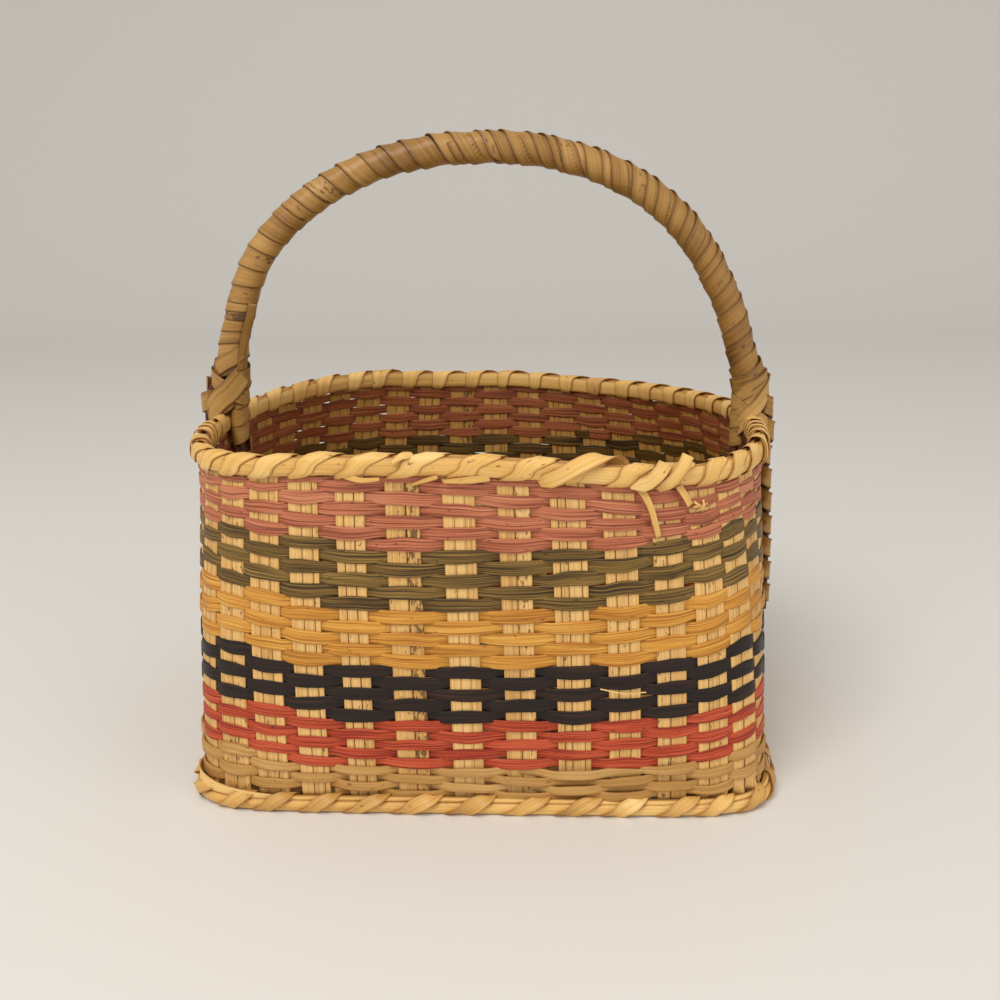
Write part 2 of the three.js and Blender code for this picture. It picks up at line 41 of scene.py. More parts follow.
# The wall's outline. Lengths are in metres; a place counts stake spacings from the front,
# counter-clockwise from above, and stakes stand at every half place.
wall = {
    "middleX": -0.0019491,
    "middleY": -0.0000294,
    "places": 42,
    "baseHalfWidth": 0.1386,
    "baseHalfDepth": 0.1065,
    "baseSquareness": 9.5,
    "rimHalfWidth": 0.136,
    "rimHalfDepth": 0.1155,
    "rimFrontSquareness": 3.2,
    "rimBackSquareness": 2.1,
    "rimHeight": 0.176,
    "sideBelly": 0.02,
    "stakeShift": 0.41,
    "frontCrowding": 0.185,
    "backCrowding": 0.06,
    "shiftPlaces": (
        -6.5, -5, -4, -3, -2.3, -1.5, -0.8, -0.2, 0.5, 1.3, 2.1, 2.9, 3.6, 4.4, 5, 5.5, 6.5, 8,
    ),
    "shifts": (
        0, -0.08, -0.03, -0.05, -0.01, -0.03, 0, -0.05, -0.06, -0.06, -0.035, 0.02, 0.12, 0.21,
        0.22, 0.19, 0.07, 0,
    ),
    "endPush": 0.0022,
    "endSpread": 3.2,
    "endHeights": (0.150, 0.168),
    "cornerPush": (0.0030, 0.0020),
    "cornerPlace": 6.6,
    "cornerSpread": 2.1,
    "sagHeights": (0.125, 0.170),
    "sagPlaces": (
        -21, -19, -18, -17, -15.5, -13.5, -11.5, -9, -7, -4.5, -3, -0.5, 0.5, 1.3, 3.2, 4.6, 6.5,
        11, 15, 17, 18.5, 20, 21,
    ),
    "rimSag": (
        0.0022, 0.0018, 0.0006, -0.0014, -0.0014, 0.0008, 0.0038, 0.0034, 0.0034, 0.0022, 0, 0,
        0.0015, 0.0028, 0.0072, 0.0085, 0.0075, 0.0070, 0.0068, 0.0062, 0.0056, 0.0036, 0.0022,
    ),
}
upward = np.array([0, 0, 1.0])
frontward = np.array([0, -1.0, 0])


def unit(vectors):
    # each vector divided by its length
    return vectors / np.linalg.norm(vectors, axis=-1, keepdims=True)


# A quarter of a superellipse: radius = (|sin / width|^n + |cos / depth|^n)^(-1/n), with the
# share of its arc length at each point.
def quarterOutline(halfWidth, halfDepth, squareness):
    angle = np.linspace(0, np.pi / 2, 800)
    across = (np.sin(angle) / halfWidth) ** squareness
    along = (np.cos(angle) / halfDepth) ** squareness
    radius = (across + along) ** (-1 / squareness)
    x, y = np.sin(angle) * radius, np.cos(angle) * radius
    share = np.r_[0, np.cumsum(np.hypot(np.diff(x), np.diff(y)))]
    return share / share[-1], x, y


baseOutline = quarterOutline(wall["baseHalfWidth"], wall["baseHalfDepth"], wall["baseSquareness"])
rimFront = quarterOutline(wall["rimHalfWidth"], wall["rimHalfDepth"], wall["rimFrontSquareness"])
rimBack = quarterOutline(wall["rimHalfWidth"], wall["rimHalfDepth"], wall["rimBackSquareness"])


# A place as a count from the middle of the front, up to half way round to either side.
def fromFrontMiddle(place):
    return place - np.round(place / wall["places"]) * wall["places"]


# The point of an outline at a place: its share of a quarter, moved by the shift and the
# crowding, looked up along the quarter's arc and mirrored to its own quarter.
def outlinePoint(place, front, back, frontCrowding, backCrowding):
    half, quarter = wall["places"] / 2, wall["places"] / 4
    fromFront = fromFrontMiddle(place)
    onBack = np.abs(fromFront) > quarter
    fromBack = np.sign(fromFront) * (half - np.abs(fromFront))
    fromMiddle = np.where(onBack, fromBack, fromFront)
    share = (fromMiddle + wall["stakeShift"] * np.cos(np.pi * fromMiddle / half)) / quarter
    crowding = np.where(onBack, backCrowding, frontCrowding)
    arc = np.abs(share + crowding * np.sin(2 * np.pi * share) / (2 * np.pi))
    x = np.where(onBack, np.interp(arc, back[0], back[1]), np.interp(arc, front[0], front[1]))
    y = np.where(onBack, np.interp(arc, back[0], back[2]), -np.interp(arc, front[0], front[2]))
    return np.sign(share) * x, y


# 0 before the start, 1 past the end and a smooth cubic between them.
def smoothStep(value, start, end):
    share = np.clip((value - start) / (end - start), 0, 1)
    return share * share * (3 - 2 * share)


# 1 at a place on either side of the front, falling off by e^-(distance / spread)^2.
def bell(fromFront, place, spread):
    return np.exp(-(((np.abs(fromFront) - place) / spread) ** 2))


# The wall's middle surface: base + (rim - base) * height / rim height, with the sides bellied
# out by half a sine wave. The front places are moved along a little. Near the top the corners of
# the front and both ends are pushed out by bells, and the rim sags by its table.
def wallPoint(place, height):
    place, height = np.broadcast_arrays(np.asarray(place, float), np.asarray(height, float))
    fromFront = fromFrontMiddle(place)
    place = place + np.interp(fromFront, wall["shiftPlaces"], wall["shifts"])
    front, back = wall["frontCrowding"], wall["backCrowding"]
    lowX, lowY = outlinePoint(place, baseOutline, baseOutline, front, front)
    highX, highY = outlinePoint(place, rimFront, rimBack, front, back)
    rise = height / wall["rimHeight"]
    belly = 1 + wall["sideBelly"] * np.sin(np.pi * np.clip(rise, 0, 1))
    x = (lowX + (highX - lowX) * rise) * belly + wall["middleX"]
    y = lowY + (highY - lowY) * rise + wall["middleY"]
    upper = smoothStep(height, *wall["sagHeights"])
    corner = bell(fromFront, wall["cornerPlace"], wall["cornerSpread"])
    y = y - upper * corner * np.where(fromFront < 0, *wall["cornerPush"])
    ends = bell(fromFront, wall["places"] / 4, wall["endSpread"])
    x = x + smoothStep(height, *wall["endHeights"]) * ends * np.sign(fromFront) * wall["endPush"]
    sag = np.interp(fromFront, wall["sagPlaces"], wall["rimSag"])
    return np.stack([x, y, height - upper * sag], -1)


# Outward normal: the surface's slope along the wall crossed with its slope up the wall.
def wallNormal(place, height, placeStep=0.15, heightStep=0.0005):
    along = wallPoint(place + placeStep, height) - wallPoint(place - placeStep, height)
    rising = wallPoint(place, height + heightStep) - wallPoint(place, height - heightStep)
    return unit(np.cross(along, rising))


# The wall's spacing between stakes at a place and height.
def spacingAt(place, height):
    apart = wallPoint(place + 0.5, height) - wallPoint(place - 0.5, height)
    return np.linalg.norm(apart, axis=-1)


# Random values at whole steps, carried smoothly between them by a cosine.
def wander(steps, size, seedCount=4000):
    values = chance.normal(0, size, seedCount)
    low = np.floor(steps).astype(int) % seedCount
    blend = 0.5 - 0.5 * np.cos(np.pi * (steps - np.floor(steps)))
    return values[low] * (1 - blend) + values[(low + 1) % seedCount] * blend


# A smooth path through rows of control values, cubic between them (Catmull-Rom).
def smoothPath(controls, perSpan):
    controls = np.asarray(controls, float)
    padded = np.vstack([2 * controls[0] - controls[1], controls, 2 * controls[-1] - controls[-2]])
    t = np.arange(perSpan)[:, None] / perSpan
    a, b, c, d = padded[:-3, None], padded[1:-2, None], padded[2:-1, None], padded[3:, None]
    cubic = 2 * b + (c - a) * t + (2 * a - 5 * b + 4 * c - d) * t**2
    cubic = cubic + (3 * b - a - 3 * c + d) * t**3
    return np.vstack([cubic.reshape(-1, controls.shape[1]) / 2, controls[-1:]])


# Sections as shares of half the width and half the thickness, round the strip.
stripSection = np.array([
    [-1, -0.1], [-0.97, -0.7], [-0.88, -0.95], [-0.6, -1], [0.6, -1], [0.88, -0.95], [0.97, -0.7],
    [1, -0.1], [0.96, 0.66], [0.87, 0.94], [0.6, 1], [-0.6, 1], [-0.87, 0.94], [-0.96, 0.66],
])
domeSection = np.array([
    [-1, -0.7], [-0.9, -1], [0.9, -1], [1, -0.7], [0.97, -0.2], [0.88, 0.3], [0.68, 0.7],
    [0.36, 0.94], [0, 1], [-0.36, 0.94], [-0.68, 0.7], [-0.88, 0.3], [-0.97, -0.2],
])
roundAngles = np.linspace(0, 2 * np.pi, 12, endpoint=False)
roundSection = np.stack([-np.cos(roundAngles), -np.sin(roundAngles)], -1)
leastSlant = 0.55
grainReach = 9


# Carries a section along a path: its width lies square to the travel and to the outward
# direction, turned by the tilt, and each point is centre + wide * share + outward * share. With
# "along" the width lies in that direction instead, over the sine of its angle to the travel,
# which counts as leastSlant or more. The grain starts at a chance point within grainReach.
def sweep(centre, out, width, thickness, section=stripSection, closed=False, tilt=0.0, **looks):
    count = len(centre)
    travel = np.gradient(centre, axis=0)
    if closed:
        travel = np.roll(centre, -1, 0) - np.roll(centre, 1, 0)
    travel = unit(travel)
    wide = unit(np.cross(out, travel))
    proud = np.cross(travel, wide)
    if "along" in looks:
        wide = looks["along"] * np.sign((looks["along"] * wide).sum(-1, keepdims=True))
        proud = np.cross(travel, wide)
        slant = np.linalg.norm(proud, axis=-1, keepdims=True)
        wide, proud = wide / np.maximum(slant, leastSlant), proud / slant
    cosine, sine = np.cos(tilt), np.sin(tilt)
    wide, proud = wide * cosine + proud * sine, proud * cosine - wide * sine
    halfWidth = np.broadcast_to(width, count)[:, None, None] / 2
    halfThickness = np.broadcast_to(thickness, count)[:, None, None] / 2
    points = centre[:, None] + wide[:, None] * section[None, :, :1] * halfWidth
    points = points + proud[:, None] * section[None, :, 1:] * halfThickness
    steps = np.linalg.norm(np.diff(centre, axis=0), axis=1)
    if closed:
        steps = np.r_[steps, np.linalg.norm(centre[0] - centre[-1])]
    around = np.vstack([section, section[:1]]) * [np.mean(width) / 2, np.mean(thickness) / 2]
    around = np.r_[0, np.cumsum(np.linalg.norm(np.diff(around, axis=0), axis=1))]
    return {
        "points": points,
        "closed": closed,
        "across": section[:, 0],
        # inner: how much painted shade the strip's inner face gets
        "inner": (section[:, 1] < -0.5) * looks.get("inner", 1.0),
        "along": np.r_[0, np.cumsum(steps)] + chance.uniform(0, grainReach),
        "around": around + chance.uniform(0, grainReach),
        "tone": looks.get("tone", 0.5),
        "fleck": looks.get("fleck", 0.0),
    }


# Joins swept strips into one mesh: four-sided faces between neighbouring rings and one cap at
# each open end, with metres along and round each strip as its UV map.
def buildPiece(name, strips, slotName, *nodes):
    points, corners, sizes, maps = [], [], [], []
    fields = {"tone": [], "fleck": [], "across": [], "inner": []}
    first = 0
    for strip in strips:
        rings, sides = strip["points"].shape[:2]
        index = first + np.arange(rings * sides).reshape(rings, sides)
        if strip["closed"]:
            index = np.vstack([index, index[:1]])
        turned = np.roll(index, -1, axis=1)
        quads = np.stack([index[:-1], turned[:-1], turned[1:], index[1:]], -1)
        along, around = strip["along"][: len(index), None], strip["around"][None]
        u = np.stack([along[:-1], along[:-1], along[1:], along[1:]], -1)
        v = np.stack([around[:, :-1], around[:, 1:], around[:, 1:], around[:, :-1]], -1)
        points.append(strip["points"].reshape(-1, 3))
        corners.append(quads.reshape(-1))
        sizes.append(np.full(quads.size // 4, 4))
        maps.append(np.stack(np.broadcast_arrays(u, v), -1).reshape(-1, 2))
        if not strip["closed"]:
            corners.append(np.r_[index[0][::-1], index[-1]])
            sizes.append(np.full(2, sides))
            endAlong = np.repeat([along[0, 0], along[-1, 0]], sides)
            maps.append(np.stack([endAlong, np.tile(around[0, :-1], 2)], -1))
        for label in ("tone", "fleck"):
            fields[label].append(np.repeat(np.broadcast_to(strip[label], rings), sides))
        for label in ("across", "inner"):
            fields[label].append(np.tile(strip[label], rings))
        first += rings * sides
    mesh = bpy.data.meshes.new(name)
    points, corners, sizes = np.vstack(points), np.concatenate(corners), np.concatenate(sizes)
    mesh.vertices.add(len(points))
    mesh.vertices.foreach_set("co", points.astype(np.float32).reshape(-1))
    mesh.loops.add(len(corners))
    mesh.loops.foreach_set("vertex_index", corners.astype(np.int32))
    mesh.polygons.add(len(sizes))
    mesh.polygons.foreach_set("loop_start", np.r_[0, np.cumsum(sizes)[:-1]].astype(np.int32))
    mesh.polygons.foreach_set("use_smooth", sizes == 4)
    mesh.update(calc_edges=True)
    layer = mesh.uv_layers.new(name="strand")
    layer.data.foreach_set("uv", np.vstack(maps).astype(np.float32).reshape(-1))
    for label, values in fields.items():
        attribute = mesh.attributes.new(label, "FLOAT", "POINT")
        attribute.data.foreach_set("value", np.concatenate(values).astype(np.float32))
    mesh.materials.append(materials[slotName])
    piece = bpy.data.objects.new(name, mesh)
    bpy.context.scene.collection.objects.link(piece)
    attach(piece, "root")
    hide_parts(*nodes)


def addNode(tree, kind, inputs, **settings):
    node = tree.nodes.new(kind)
    for key, value in settings.items():
        setattr(node, key, value)
    for key, value in inputs.items():
        if isinstance(value, bpy.types.NodeSocket):
            tree.links.new(value, node.inputs[key])
        else:
            node.inputs[key].default_value = value
    return node


def srgb(red, green, blue):
    # screen colour to the linear colour that shaders use
    values = np.array([red, green, blue]) / 255
    linear = np.where(values > 0.04045, ((values + 0.055) / 1.055) ** 2.4, values / 12.92)
    return (*map(float, linear), 1.0)


# Split cane. Each noise has its scale along and round the strand and its detail, and each mask
# is noise * gain + shift.
grain = {
    "fine": (26, 2300, 1),
    "coarse": (8, 620, 2),
    "lines": (11, 1300, 0),
    "knots": (190, 520, 4),
    "blotchScale": 34.0,
    "edgeShadePower": 8.0,
    "lineMask": (8.0, -4.6),
    "lineDarkness": 0.55,
    "spotMask": (14.0, -9.5),
    "spotDarkness": 0.8,
    "fleckGain": 0.12,
    "innerShade": (208, 198, 164),
    "roughness": (0.3, 0.4),
    "heights": (0.6, 0.4),
}


# Shade = 0.5 + fibres + streaks + blotches + the strand's tone, each counted from 0.5, blends
# from dark over base to light. Lines and flecks darken it, painted shade darkens the edges,
# and painted shade darkens and browns the inner face.
def makeGrainGroup():
    group = bpy.data.node_groups.new("splitCaneGrain", "ShaderNodeTree")
    for way, kind, labels in (
        ("INPUT", "Vector", "Strand Object"),
        ("INPUT", "Color", "Dark Base Light Stain"),
        ("INPUT", "Float", "Tone Fleck Across Inner Fibre Streak Blotch Edge"),
        ("OUTPUT", "Color", "Color"),
        ("OUTPUT", "Float", "Roughness Height"),
    ):
        for label in labels.split():
            group.interface.new_socket(label, in_out=way, socket_type=f"NodeSocket{kind}")
    given = group.nodes.new("NodeGroupInput").outputs

    def noise(name):
        along, around, detail = grain[name]
        stretch = {"Vector": given["Strand"], "Scale": (along, around, 1)}
        place = addNode(group, "ShaderNodeMapping", stretch).outputs[0]
        inputs = {"Vector": place, "Scale": 1.0, "Detail": detail, "Roughness": 0.6}
        return addNode(group, "ShaderNodeTexNoise", inputs, noise_dimensions="2D").outputs["Fac"]

    def maths(operation, *values, clamp=False):
        inputs, settings = dict(enumerate(values)), {"operation": operation, "use_clamp": clamp}
        return addNode(group, "ShaderNodeMath", inputs, **settings).outputs[0]

    def mixed(factor, first, second, kind="MIX"):
        inputs, settings = {"Factor": factor, 6: first, 7: second}, {"blend_type": kind}
        return addNode(group, "ShaderNodeMix", inputs, data_type="RGBA", **settings).outputs[2]

    def centred(value):
        return maths("SUBTRACT", value, 0.5)

    fine, coarse, lines, knots = map(noise, ("fine", "coarse", "lines", "knots"))
    spread = {"Vector": given["Object"], "Scale": grain["blotchScale"], "Detail": 2.0}
    blotch = addNode(group, "ShaderNodeTexNoise", spread).outputs["Fac"]
    shade = maths("MULTIPLY_ADD", centred(fine), given["Fibre"], 0.5)
    shade = maths("MULTIPLY_ADD", centred(coarse), given["Streak"], shade)
    shade = maths("MULTIPLY_ADD", centred(blotch), given["Blotch"], shade)
    shade = maths("ADD", shade, centred(given["Tone"]))
    low = maths("MULTIPLY", shade, 2.0, clamp=True)
    high = maths("MULTIPLY_ADD", shade, 2.0, -1.0, clamp=True)
    colour = mixed(low, given["Dark"], given["Base"])
    colour = mixed(high, colour, given["Light"])
    # painted shade: strips darken to their dark colour at the edges, as the shade between strips
    edge = maths("POWER", maths("ABSOLUTE", given["Across"], 0.0), grain["edgeShadePower"])
    edge = maths("MULTIPLY", edge, given["Edge"], clamp=True)
    colour = mixed(edge, colour, given["Dark"])
    lined = maths("MULTIPLY_ADD", lines, *grain["lineMask"], clamp=True)
    lined = maths("MULTIPLY", maths("MULTIPLY", lined, given["Fibre"]), grain["lineDarkness"])
    colour = mixed(lined, colour, given["Dark"])
    spots = maths("MULTIPLY_ADD", given["Fleck"], grain["fleckGain"], knots)
    spots = maths("MULTIPLY_ADD", spots, *grain["spotMask"], clamp=True)
    spots = maths("MULTIPLY", spots, grain["spotDarkness"])
    colour = mixed(spots, colour, given["Stain"])
    # painted shade: the faces towards the basket's inside are darkened and browned by a multiply
    shadedInside = mixed(1.0, colour, srgb(*grain["innerShade"]), "MULTIPLY")
    colour = mixed(given["Inner"], colour, shadedInside)
    rough = maths("MULTIPLY_ADD", coarse, *grain["roughness"])
    coarseHigh, fineHigh = grain["heights"]
    height = maths("MULTIPLY_ADD", coarse, coarseHigh, maths("MULTIPLY", fine, fineHigh))
    end = group.nodes.new("NodeGroupOutput").inputs
    for label, value in (("Color", colour), ("Roughness", rough), ("Height", height)):
        group.links.new(value, end[label])
    return group


grainGroup = makeGrainGroup()

# Each kind of splint: screen colours from its darkest fibres to its palest and of its flecks,
# then how strong its fibres, streaks, blotches, painted edge shade, bumps and coat are.
lookNames = ("Dark", "Base", "Light", "Stain", "Fibre", "Streak", "Blotch", "Edge", "Bump", "Coat")
splints = {
    "stake_splint": (
        (168, 116, 58), (230, 184, 112), (246, 212, 150), (84, 56, 28),
        0.6, 0.45, 0.3, 0.5, 0.6, 0.05,
    ),
    "natural_splint": (
        (156, 106, 52), (192, 146, 80), (228, 194, 132), (112, 72, 36),
        0.6, 0.4, 0.35, 0.4, 0.7, 0.05,
    ),
    "red_splint": (
        (128, 32, 20), (187, 71, 36), (212, 102, 68), (96, 24, 18),
        1.5, 0.5, 0.35, 0.25, 0.8, 0.05,
    ),
    "dark_splint": (
        (22, 12, 10), (28, 12, 6), (62, 36, 22), (24, 14, 12),
        1.8, 0.8, 0.3, 0.2, 0.8, 0.1,
    ),
    "ochre_splint": (
        (162, 100, 28), (212, 148, 56), (232, 182, 90), (122, 70, 22),
        1.5, 0.7, 0.35, 0.3, 0.7, 0.05,
    ),
    "olive_splint": (
        (58, 42, 18), (114, 86, 34), (152, 120, 60), (40, 30, 14),
        1.8, 0.6, 0.35, 0.25, 0.8, 0.06,
    ),
    "rose_splint": (
        (128, 62, 42), (190, 110, 76), (206, 138, 102), (92, 42, 30),
        1.5, 0.5, 0.4, 0.25, 0.8, 0.05,
    ),
    "rim_cane": (
        (156, 104, 44), (232, 184, 104), (250, 220, 152), (92, 58, 26),
        0.28, 0.35, 0.35, 1.0, 0.25, 0.15,
    ),
    "handle_cane": (
        (94, 58, 22), (164, 120, 56), (200, 158, 92), (66, 38, 16),
        0.35, 0.45, 0.7, 1.0, 0.4, 0.3,
    ),
    "bow_cane": (
        (52, 28, 14), (92, 54, 28), (134, 88, 48), (40, 22, 10),
        0.5, 0.8, 0.4, 0.4, 0.5, 0.1,
    ),
}


def makeSplint(name):
    look = dict(zip(lookNames, splints[name]))
    material = bpy.data.materials.new(name)
    material.use_nodes = True
    tree = material.node_tree
    tree.nodes.clear()
    inputs = {
        "Strand": addNode(tree, "ShaderNodeUVMap", {}, uv_map="strand").outputs[0],
        "Object": addNode(tree, "ShaderNodeTexCoord", {}).outputs["Object"],
    }
    for label in ("Tone", "Fleck", "Across", "Inner"):
        value = addNode(tree, "ShaderNodeAttribute", {}, attribute_name=label.lower())
        inputs[label] = value.outputs["Fac"]
    for label in lookNames[:4]:
        inputs[label] = srgb(*look[label])
    for label in lookNames[4:8]:
        inputs[label] = look[label]
    grained = addNode(tree, "ShaderNodeGroup", inputs, node_tree=grainGroup).outputs
    bumps = {"Height": grained["Height"], "Strength": look["Bump"], "Distance": 0.0005}
    surface = {
        "Base Color": grained["Color"],
        "Roughness": grained["Roughness"],
        "Normal": addNode(tree, "ShaderNodeBump", bumps).outputs[0],
        "Specular IOR Level": 0.32,
        "Coat Weight": look["Coat"],
        "Coat Roughness": 0.28,
    }
    shader = addNode(tree, "ShaderNodeBsdfPrincipled", surface).outputs[0]
    addNode(tree, "ShaderNodeOutputMaterial", {"Surface": shader})
    return material


materials = {name: makeSplint(name) for name in splints}
print("materials made")

# The weave: bands of colour from the base up, each as its rows and the heights between which
# they lie. Rows settle or rise along the wall by the three tables, which are in millimetres.
weave = {
    "bands": (
        ("natural", 4, 0.0079, 0.0239), ("red", 5, 0.0239, 0.0481), ("dark", 5, 0.0481, 0.0764),
        ("ochre", 5, 0.0764, 0.1044), ("olive", 5, 0.1044, 0.1331), ("rose", 6, 0.1331, 0.1636),
    ),
    "changes": (0, 82, 188, 292, 398, 504),
    "settlePlaces": (
        -16, -10.5, -6.5, -5.3, -4.6, -3.8, -2.3, -1.2, 2.1, 2.9, 3.6, 4.4, 5.5, 6.5, 10.5, 16,
    ),
    "settleLow": (0, 0.5, 0.2, -1.3, -1.5, -1, -1, -1.3, -1.3, -0.9, -0.2, 0.8, 2.6, 3.2, 1.8, 0),
    "settleMiddle": (0, 3, 4.2, 3.2, 1.2, 0, -0.7, -1.3, -1.3, -0.7, 0.2, 1.2, 4.8, 5.6, 3.2, 0),
    "settleTop": (0, 1.5, 2.2, 2.4, 2.4, 2.2, 0.9, -0.2, -1.2, -1.4, -1.2, -0.8, 0.6, 0.8, 0.4, 0),
    "settleHeights": (0.008, 0.022, 0.136, 0.158, 0.166),
    "extraRows": 4,
    "tuckedRows": 1.4,
    "tuckedPitch": 0.0028,
    "firstChange": 39,
    "perStake": 12,
    "swing": 0.00102,
    "steepness": 1.7,
    "thickness": 0.00085,
    "widthShare": 1.14,
    "heightJitter": 0.00036,
    "widthJitter": 0.07,
    "toneJitter": 0.075,
    "naturalSwing": 1.55,
    "naturalThickness": 0.0013,
    "cornerBulge": 0.0022,
    "cornerPhase": 1.16,
    "cornerPower": 8,
    "overlap": 7,
    "endTuck": 0.0009,
    "swingJitter": 0.1,
    "widthWave": 0.05,
    "toneDrift": 0.06,
    "fleckJitter": 0.25,
}

# Heights between rows at the front, with a few rows more that tuck in under the rim.
bandRows = [rows for _, rows, _, _ in weave["bands"]]
rowMarks = np.r_[0, np.cumsum(bandRows), sum(bandRows) + weave["extraRows"]]
heightMarks = [low for _, _, low, _ in weave["bands"]] + [weave["bands"][-1][3]]
heightMarks.append(heightMarks[-1] + weave["extraRows"] * weave["tuckedPitch"])


# How far rows have settled or risen, in metres: read off along the wall for the foot, the
# middle and the top, and blended by height.
def settled(place, height):
    fromFront = fromFrontMiddle(place)
    level = np.interp(height, weave["settleHeights"], (0, 1, 1, 2, 3))
    lift = 0
    for number, key in enumerate(("settleLow", "settleMiddle", "settleTop")):
        near = np.clip(1 - np.abs(level - number), 0, 1)
        lift = lift + near * np.interp(fromFront, weave["settlePlaces"], weave[key])
    return lift * 0.001


# One weaver: its row climbs two for each full turn, its height follows the row, and it swings
# out and in past the stakes by a cosine that a hyperbolic tangent flattens.
def weaverStrip(band, firstStep, lastStep, lag):
    perStake, places, overlap = weave["perStake"], wall["places"], weave["overlap"]
    steps = np.arange(firstStep * perStake - overlap, lastStep * perStake + overlap + 1) / perStake
    rows = 2 * steps / places + lag
    kept = rows <= rowMarks[-2] - 1 + weave["tuckedRows"]
    steps, rows = steps[kept], rows[kept]
    low = np.interp(rows, rowMarks, heightMarks)
    high = np.interp(rows + 1, rowMarks, heightMarks)
    place = weave["firstChange"] + 0.5 + steps
    low, high = low + settled(place, low), high + settled(place, high)
    isNatural = band == "natural"
    wave = np.cos(np.pi * (steps + weave["firstChange"] + lag))
    wave = np.tanh(weave["steepness"] * wave) / np.tanh(weave["steepness"])
    swing = weave["swing"] * (1 + wander(steps, weave["swingJitter"]))
    if isNatural:
        swing = swing * weave["naturalSwing"]
    offset = swing * wave
    corner = np.cos(4 * np.pi * place / places - np.pi * weave["cornerPhase"])
    offset = offset + isNatural * weave["cornerBulge"] * corner ** weave["cornerPower"]
    ends = np.minimum(steps - steps[0], steps[-1] - steps)
    offset = offset - weave["endTuck"] * np.clip(1 - 2 * ends, 0, 1)
    height = (low + high) / 2 + wander(2 * steps, weave["heightJitter"])
    width = (high - low) * weave["widthShare"] * (1 + wander(steps + 0.5, weave["widthJitter"]))
    width = width * (1 + weave["widthWave"] * np.cos(2 * np.pi * steps))
    normal = wallNormal(place, height)
    centre = wallPoint(place, height) + normal * offset[:, None]
    thickness = weave["naturalThickness"] if isNatural else weave["thickness"]
    tone = 0.5 + wander(steps / 2 + 0.5, weave["toneJitter"])
    tone = tone + wander(steps / 9, weave["toneDrift"])
    fleck = wander(steps / 3, weave["fleckJitter"])
    return sweep(centre, normal, width, thickness, tone=tone, fleck=fleck)


lagSteps = 2 * (wall["places"] // 4) + 1
changes = (*weave["changes"], wall["places"] * 16)
for (band, *_), first, last in zip(weave["bands"], changes[:-1], changes[1:]):
    for lag, number in enumerate(("one", "two")):
        strip = weaverStrip(band, first - lag * lagSteps, last - lag * lagSteps, lag)
        buildPiece(f"{band}_strand_{number}", [strip], f"{band}_splint", f"{band}_weaver_{number}")
print("weavers woven")

# Stakes: each is a group of thin splints side by side, the ends of a strip across the base. The
# splits give the shares of a group's width, and the flecks belong to splints in the front wall.
stakes = {
    "frontCount": 12,
    "sideCount": 9,
    "top": 0.1745,
    "groupWidth": 0.0144,
    "groupJitter": 0.0007,
    "toneJitter": 0.07,
    "fleckRange": (-0.5, 0.45),
    "seam": 0.00012,
    "thickness": 0.0011,
    "baseHeight": 0.0039,
    "baseCrimp": 0.00095,
    "crimpFade": 0.02,
    "bend": 0.006,
    "splits": (
        (1.0, 0.9), (1.0, 1.1, 0.9), (1.2, 1.0, 0.5), (0.8, 1.0, 1.0), (1.0, 0.7),
        (1.0, 0.9, 0.9), (1.1, 1.0), (0.6, 0.6, 1.05, 0.5), (1.0, 1.1, 1.0), (0.9, 1.1),
        (1.0, 1.0, 0.8), (0.8, 1.1),
    ),
    "flecks": {(4, 1): 1.6, (6, 1): 0.8, (9, 0): 0.6, (2, 2): 0.7, (0, 1): 0.6},
}


# One splint: down one wall, round a quarter bend, over and under across the base by a cosine
# of the crossing count, round another bend and up the opposite wall. Axis is 1 for a strip that
# runs from front to back and 0 for one that runs from side to side.
def stakeSplint(places, lines, axis, parity, offset, width, looks):
    bend = stakes["bend"]
    heights = np.linspace(stakes["top"], stakes["baseHeight"] + bend, 56)
    turn = np.linspace(0, np.pi / 2, 7)[1:-1, None]
    walls, outs = [], []
    for place, side in zip(places, (1, -1)):
        moved = place + side * offset / spacingAt(place, heights)
        walls.append(wallPoint(moved, heights))
        outs.append(wallNormal(moved, heights))
    inward = np.eye(3)[axis] * np.sign(walls[1][-1, axis] - walls[0][-1, axis])
    ends = []
    for end, direction in enumerate((inward, -inward)):
        foot = walls[end][-1]
        corner = foot + direction * bend * (1 - np.cos(turn)) - upward * bend * np.sin(turn)
        walls[end] = np.vstack([walls[end], corner])
        outs[end] = np.vstack([outs[end], -direction * np.cos(turn) - upward * np.sin(turn)])
        ends.append(foot + direction * bend)
    t = np.linspace(0, 1, 8 * len(lines))[:, None]
    floor = ends[0] * (1 - t) + ends[1] * t
    order = np.sort(lines)
    count = np.interp(floor[:, axis], order, np.arange(len(order)))
    beyond = np.abs(floor[:, axis] - np.clip(floor[:, axis], order[0], order[-1]))
    crimp = stakes["baseCrimp"] * np.clip(1 - beyond / stakes["crimpFade"], 0.2, 1)
    floor[:, 2] = stakes["baseHeight"] + crimp * np.cos(np.pi * (count + parity))
    floorOut = np.broadcast_to(-upward, floor.shape)
    centre = np.vstack([walls[0], floor, walls[1][::-1]])
    out = np.vstack([outs[0], floorOut, outs[1][::-1]])
    return sweep(centre, unit(out), width, stakes["thickness"], **looks)


frontPlaces = np.arange(stakes["frontCount"]) - (stakes["frontCount"] - 1) / 2
sidePlaces = wall["places"] / 4 + np.arange(stakes["sideCount"]) - (stakes["sideCount"] - 1) / 2
frontLines = wallPoint(frontPlaces, 0.0)[:, 0]
sideLines = wallPoint(sidePlaces, 0.0)[:, 1]


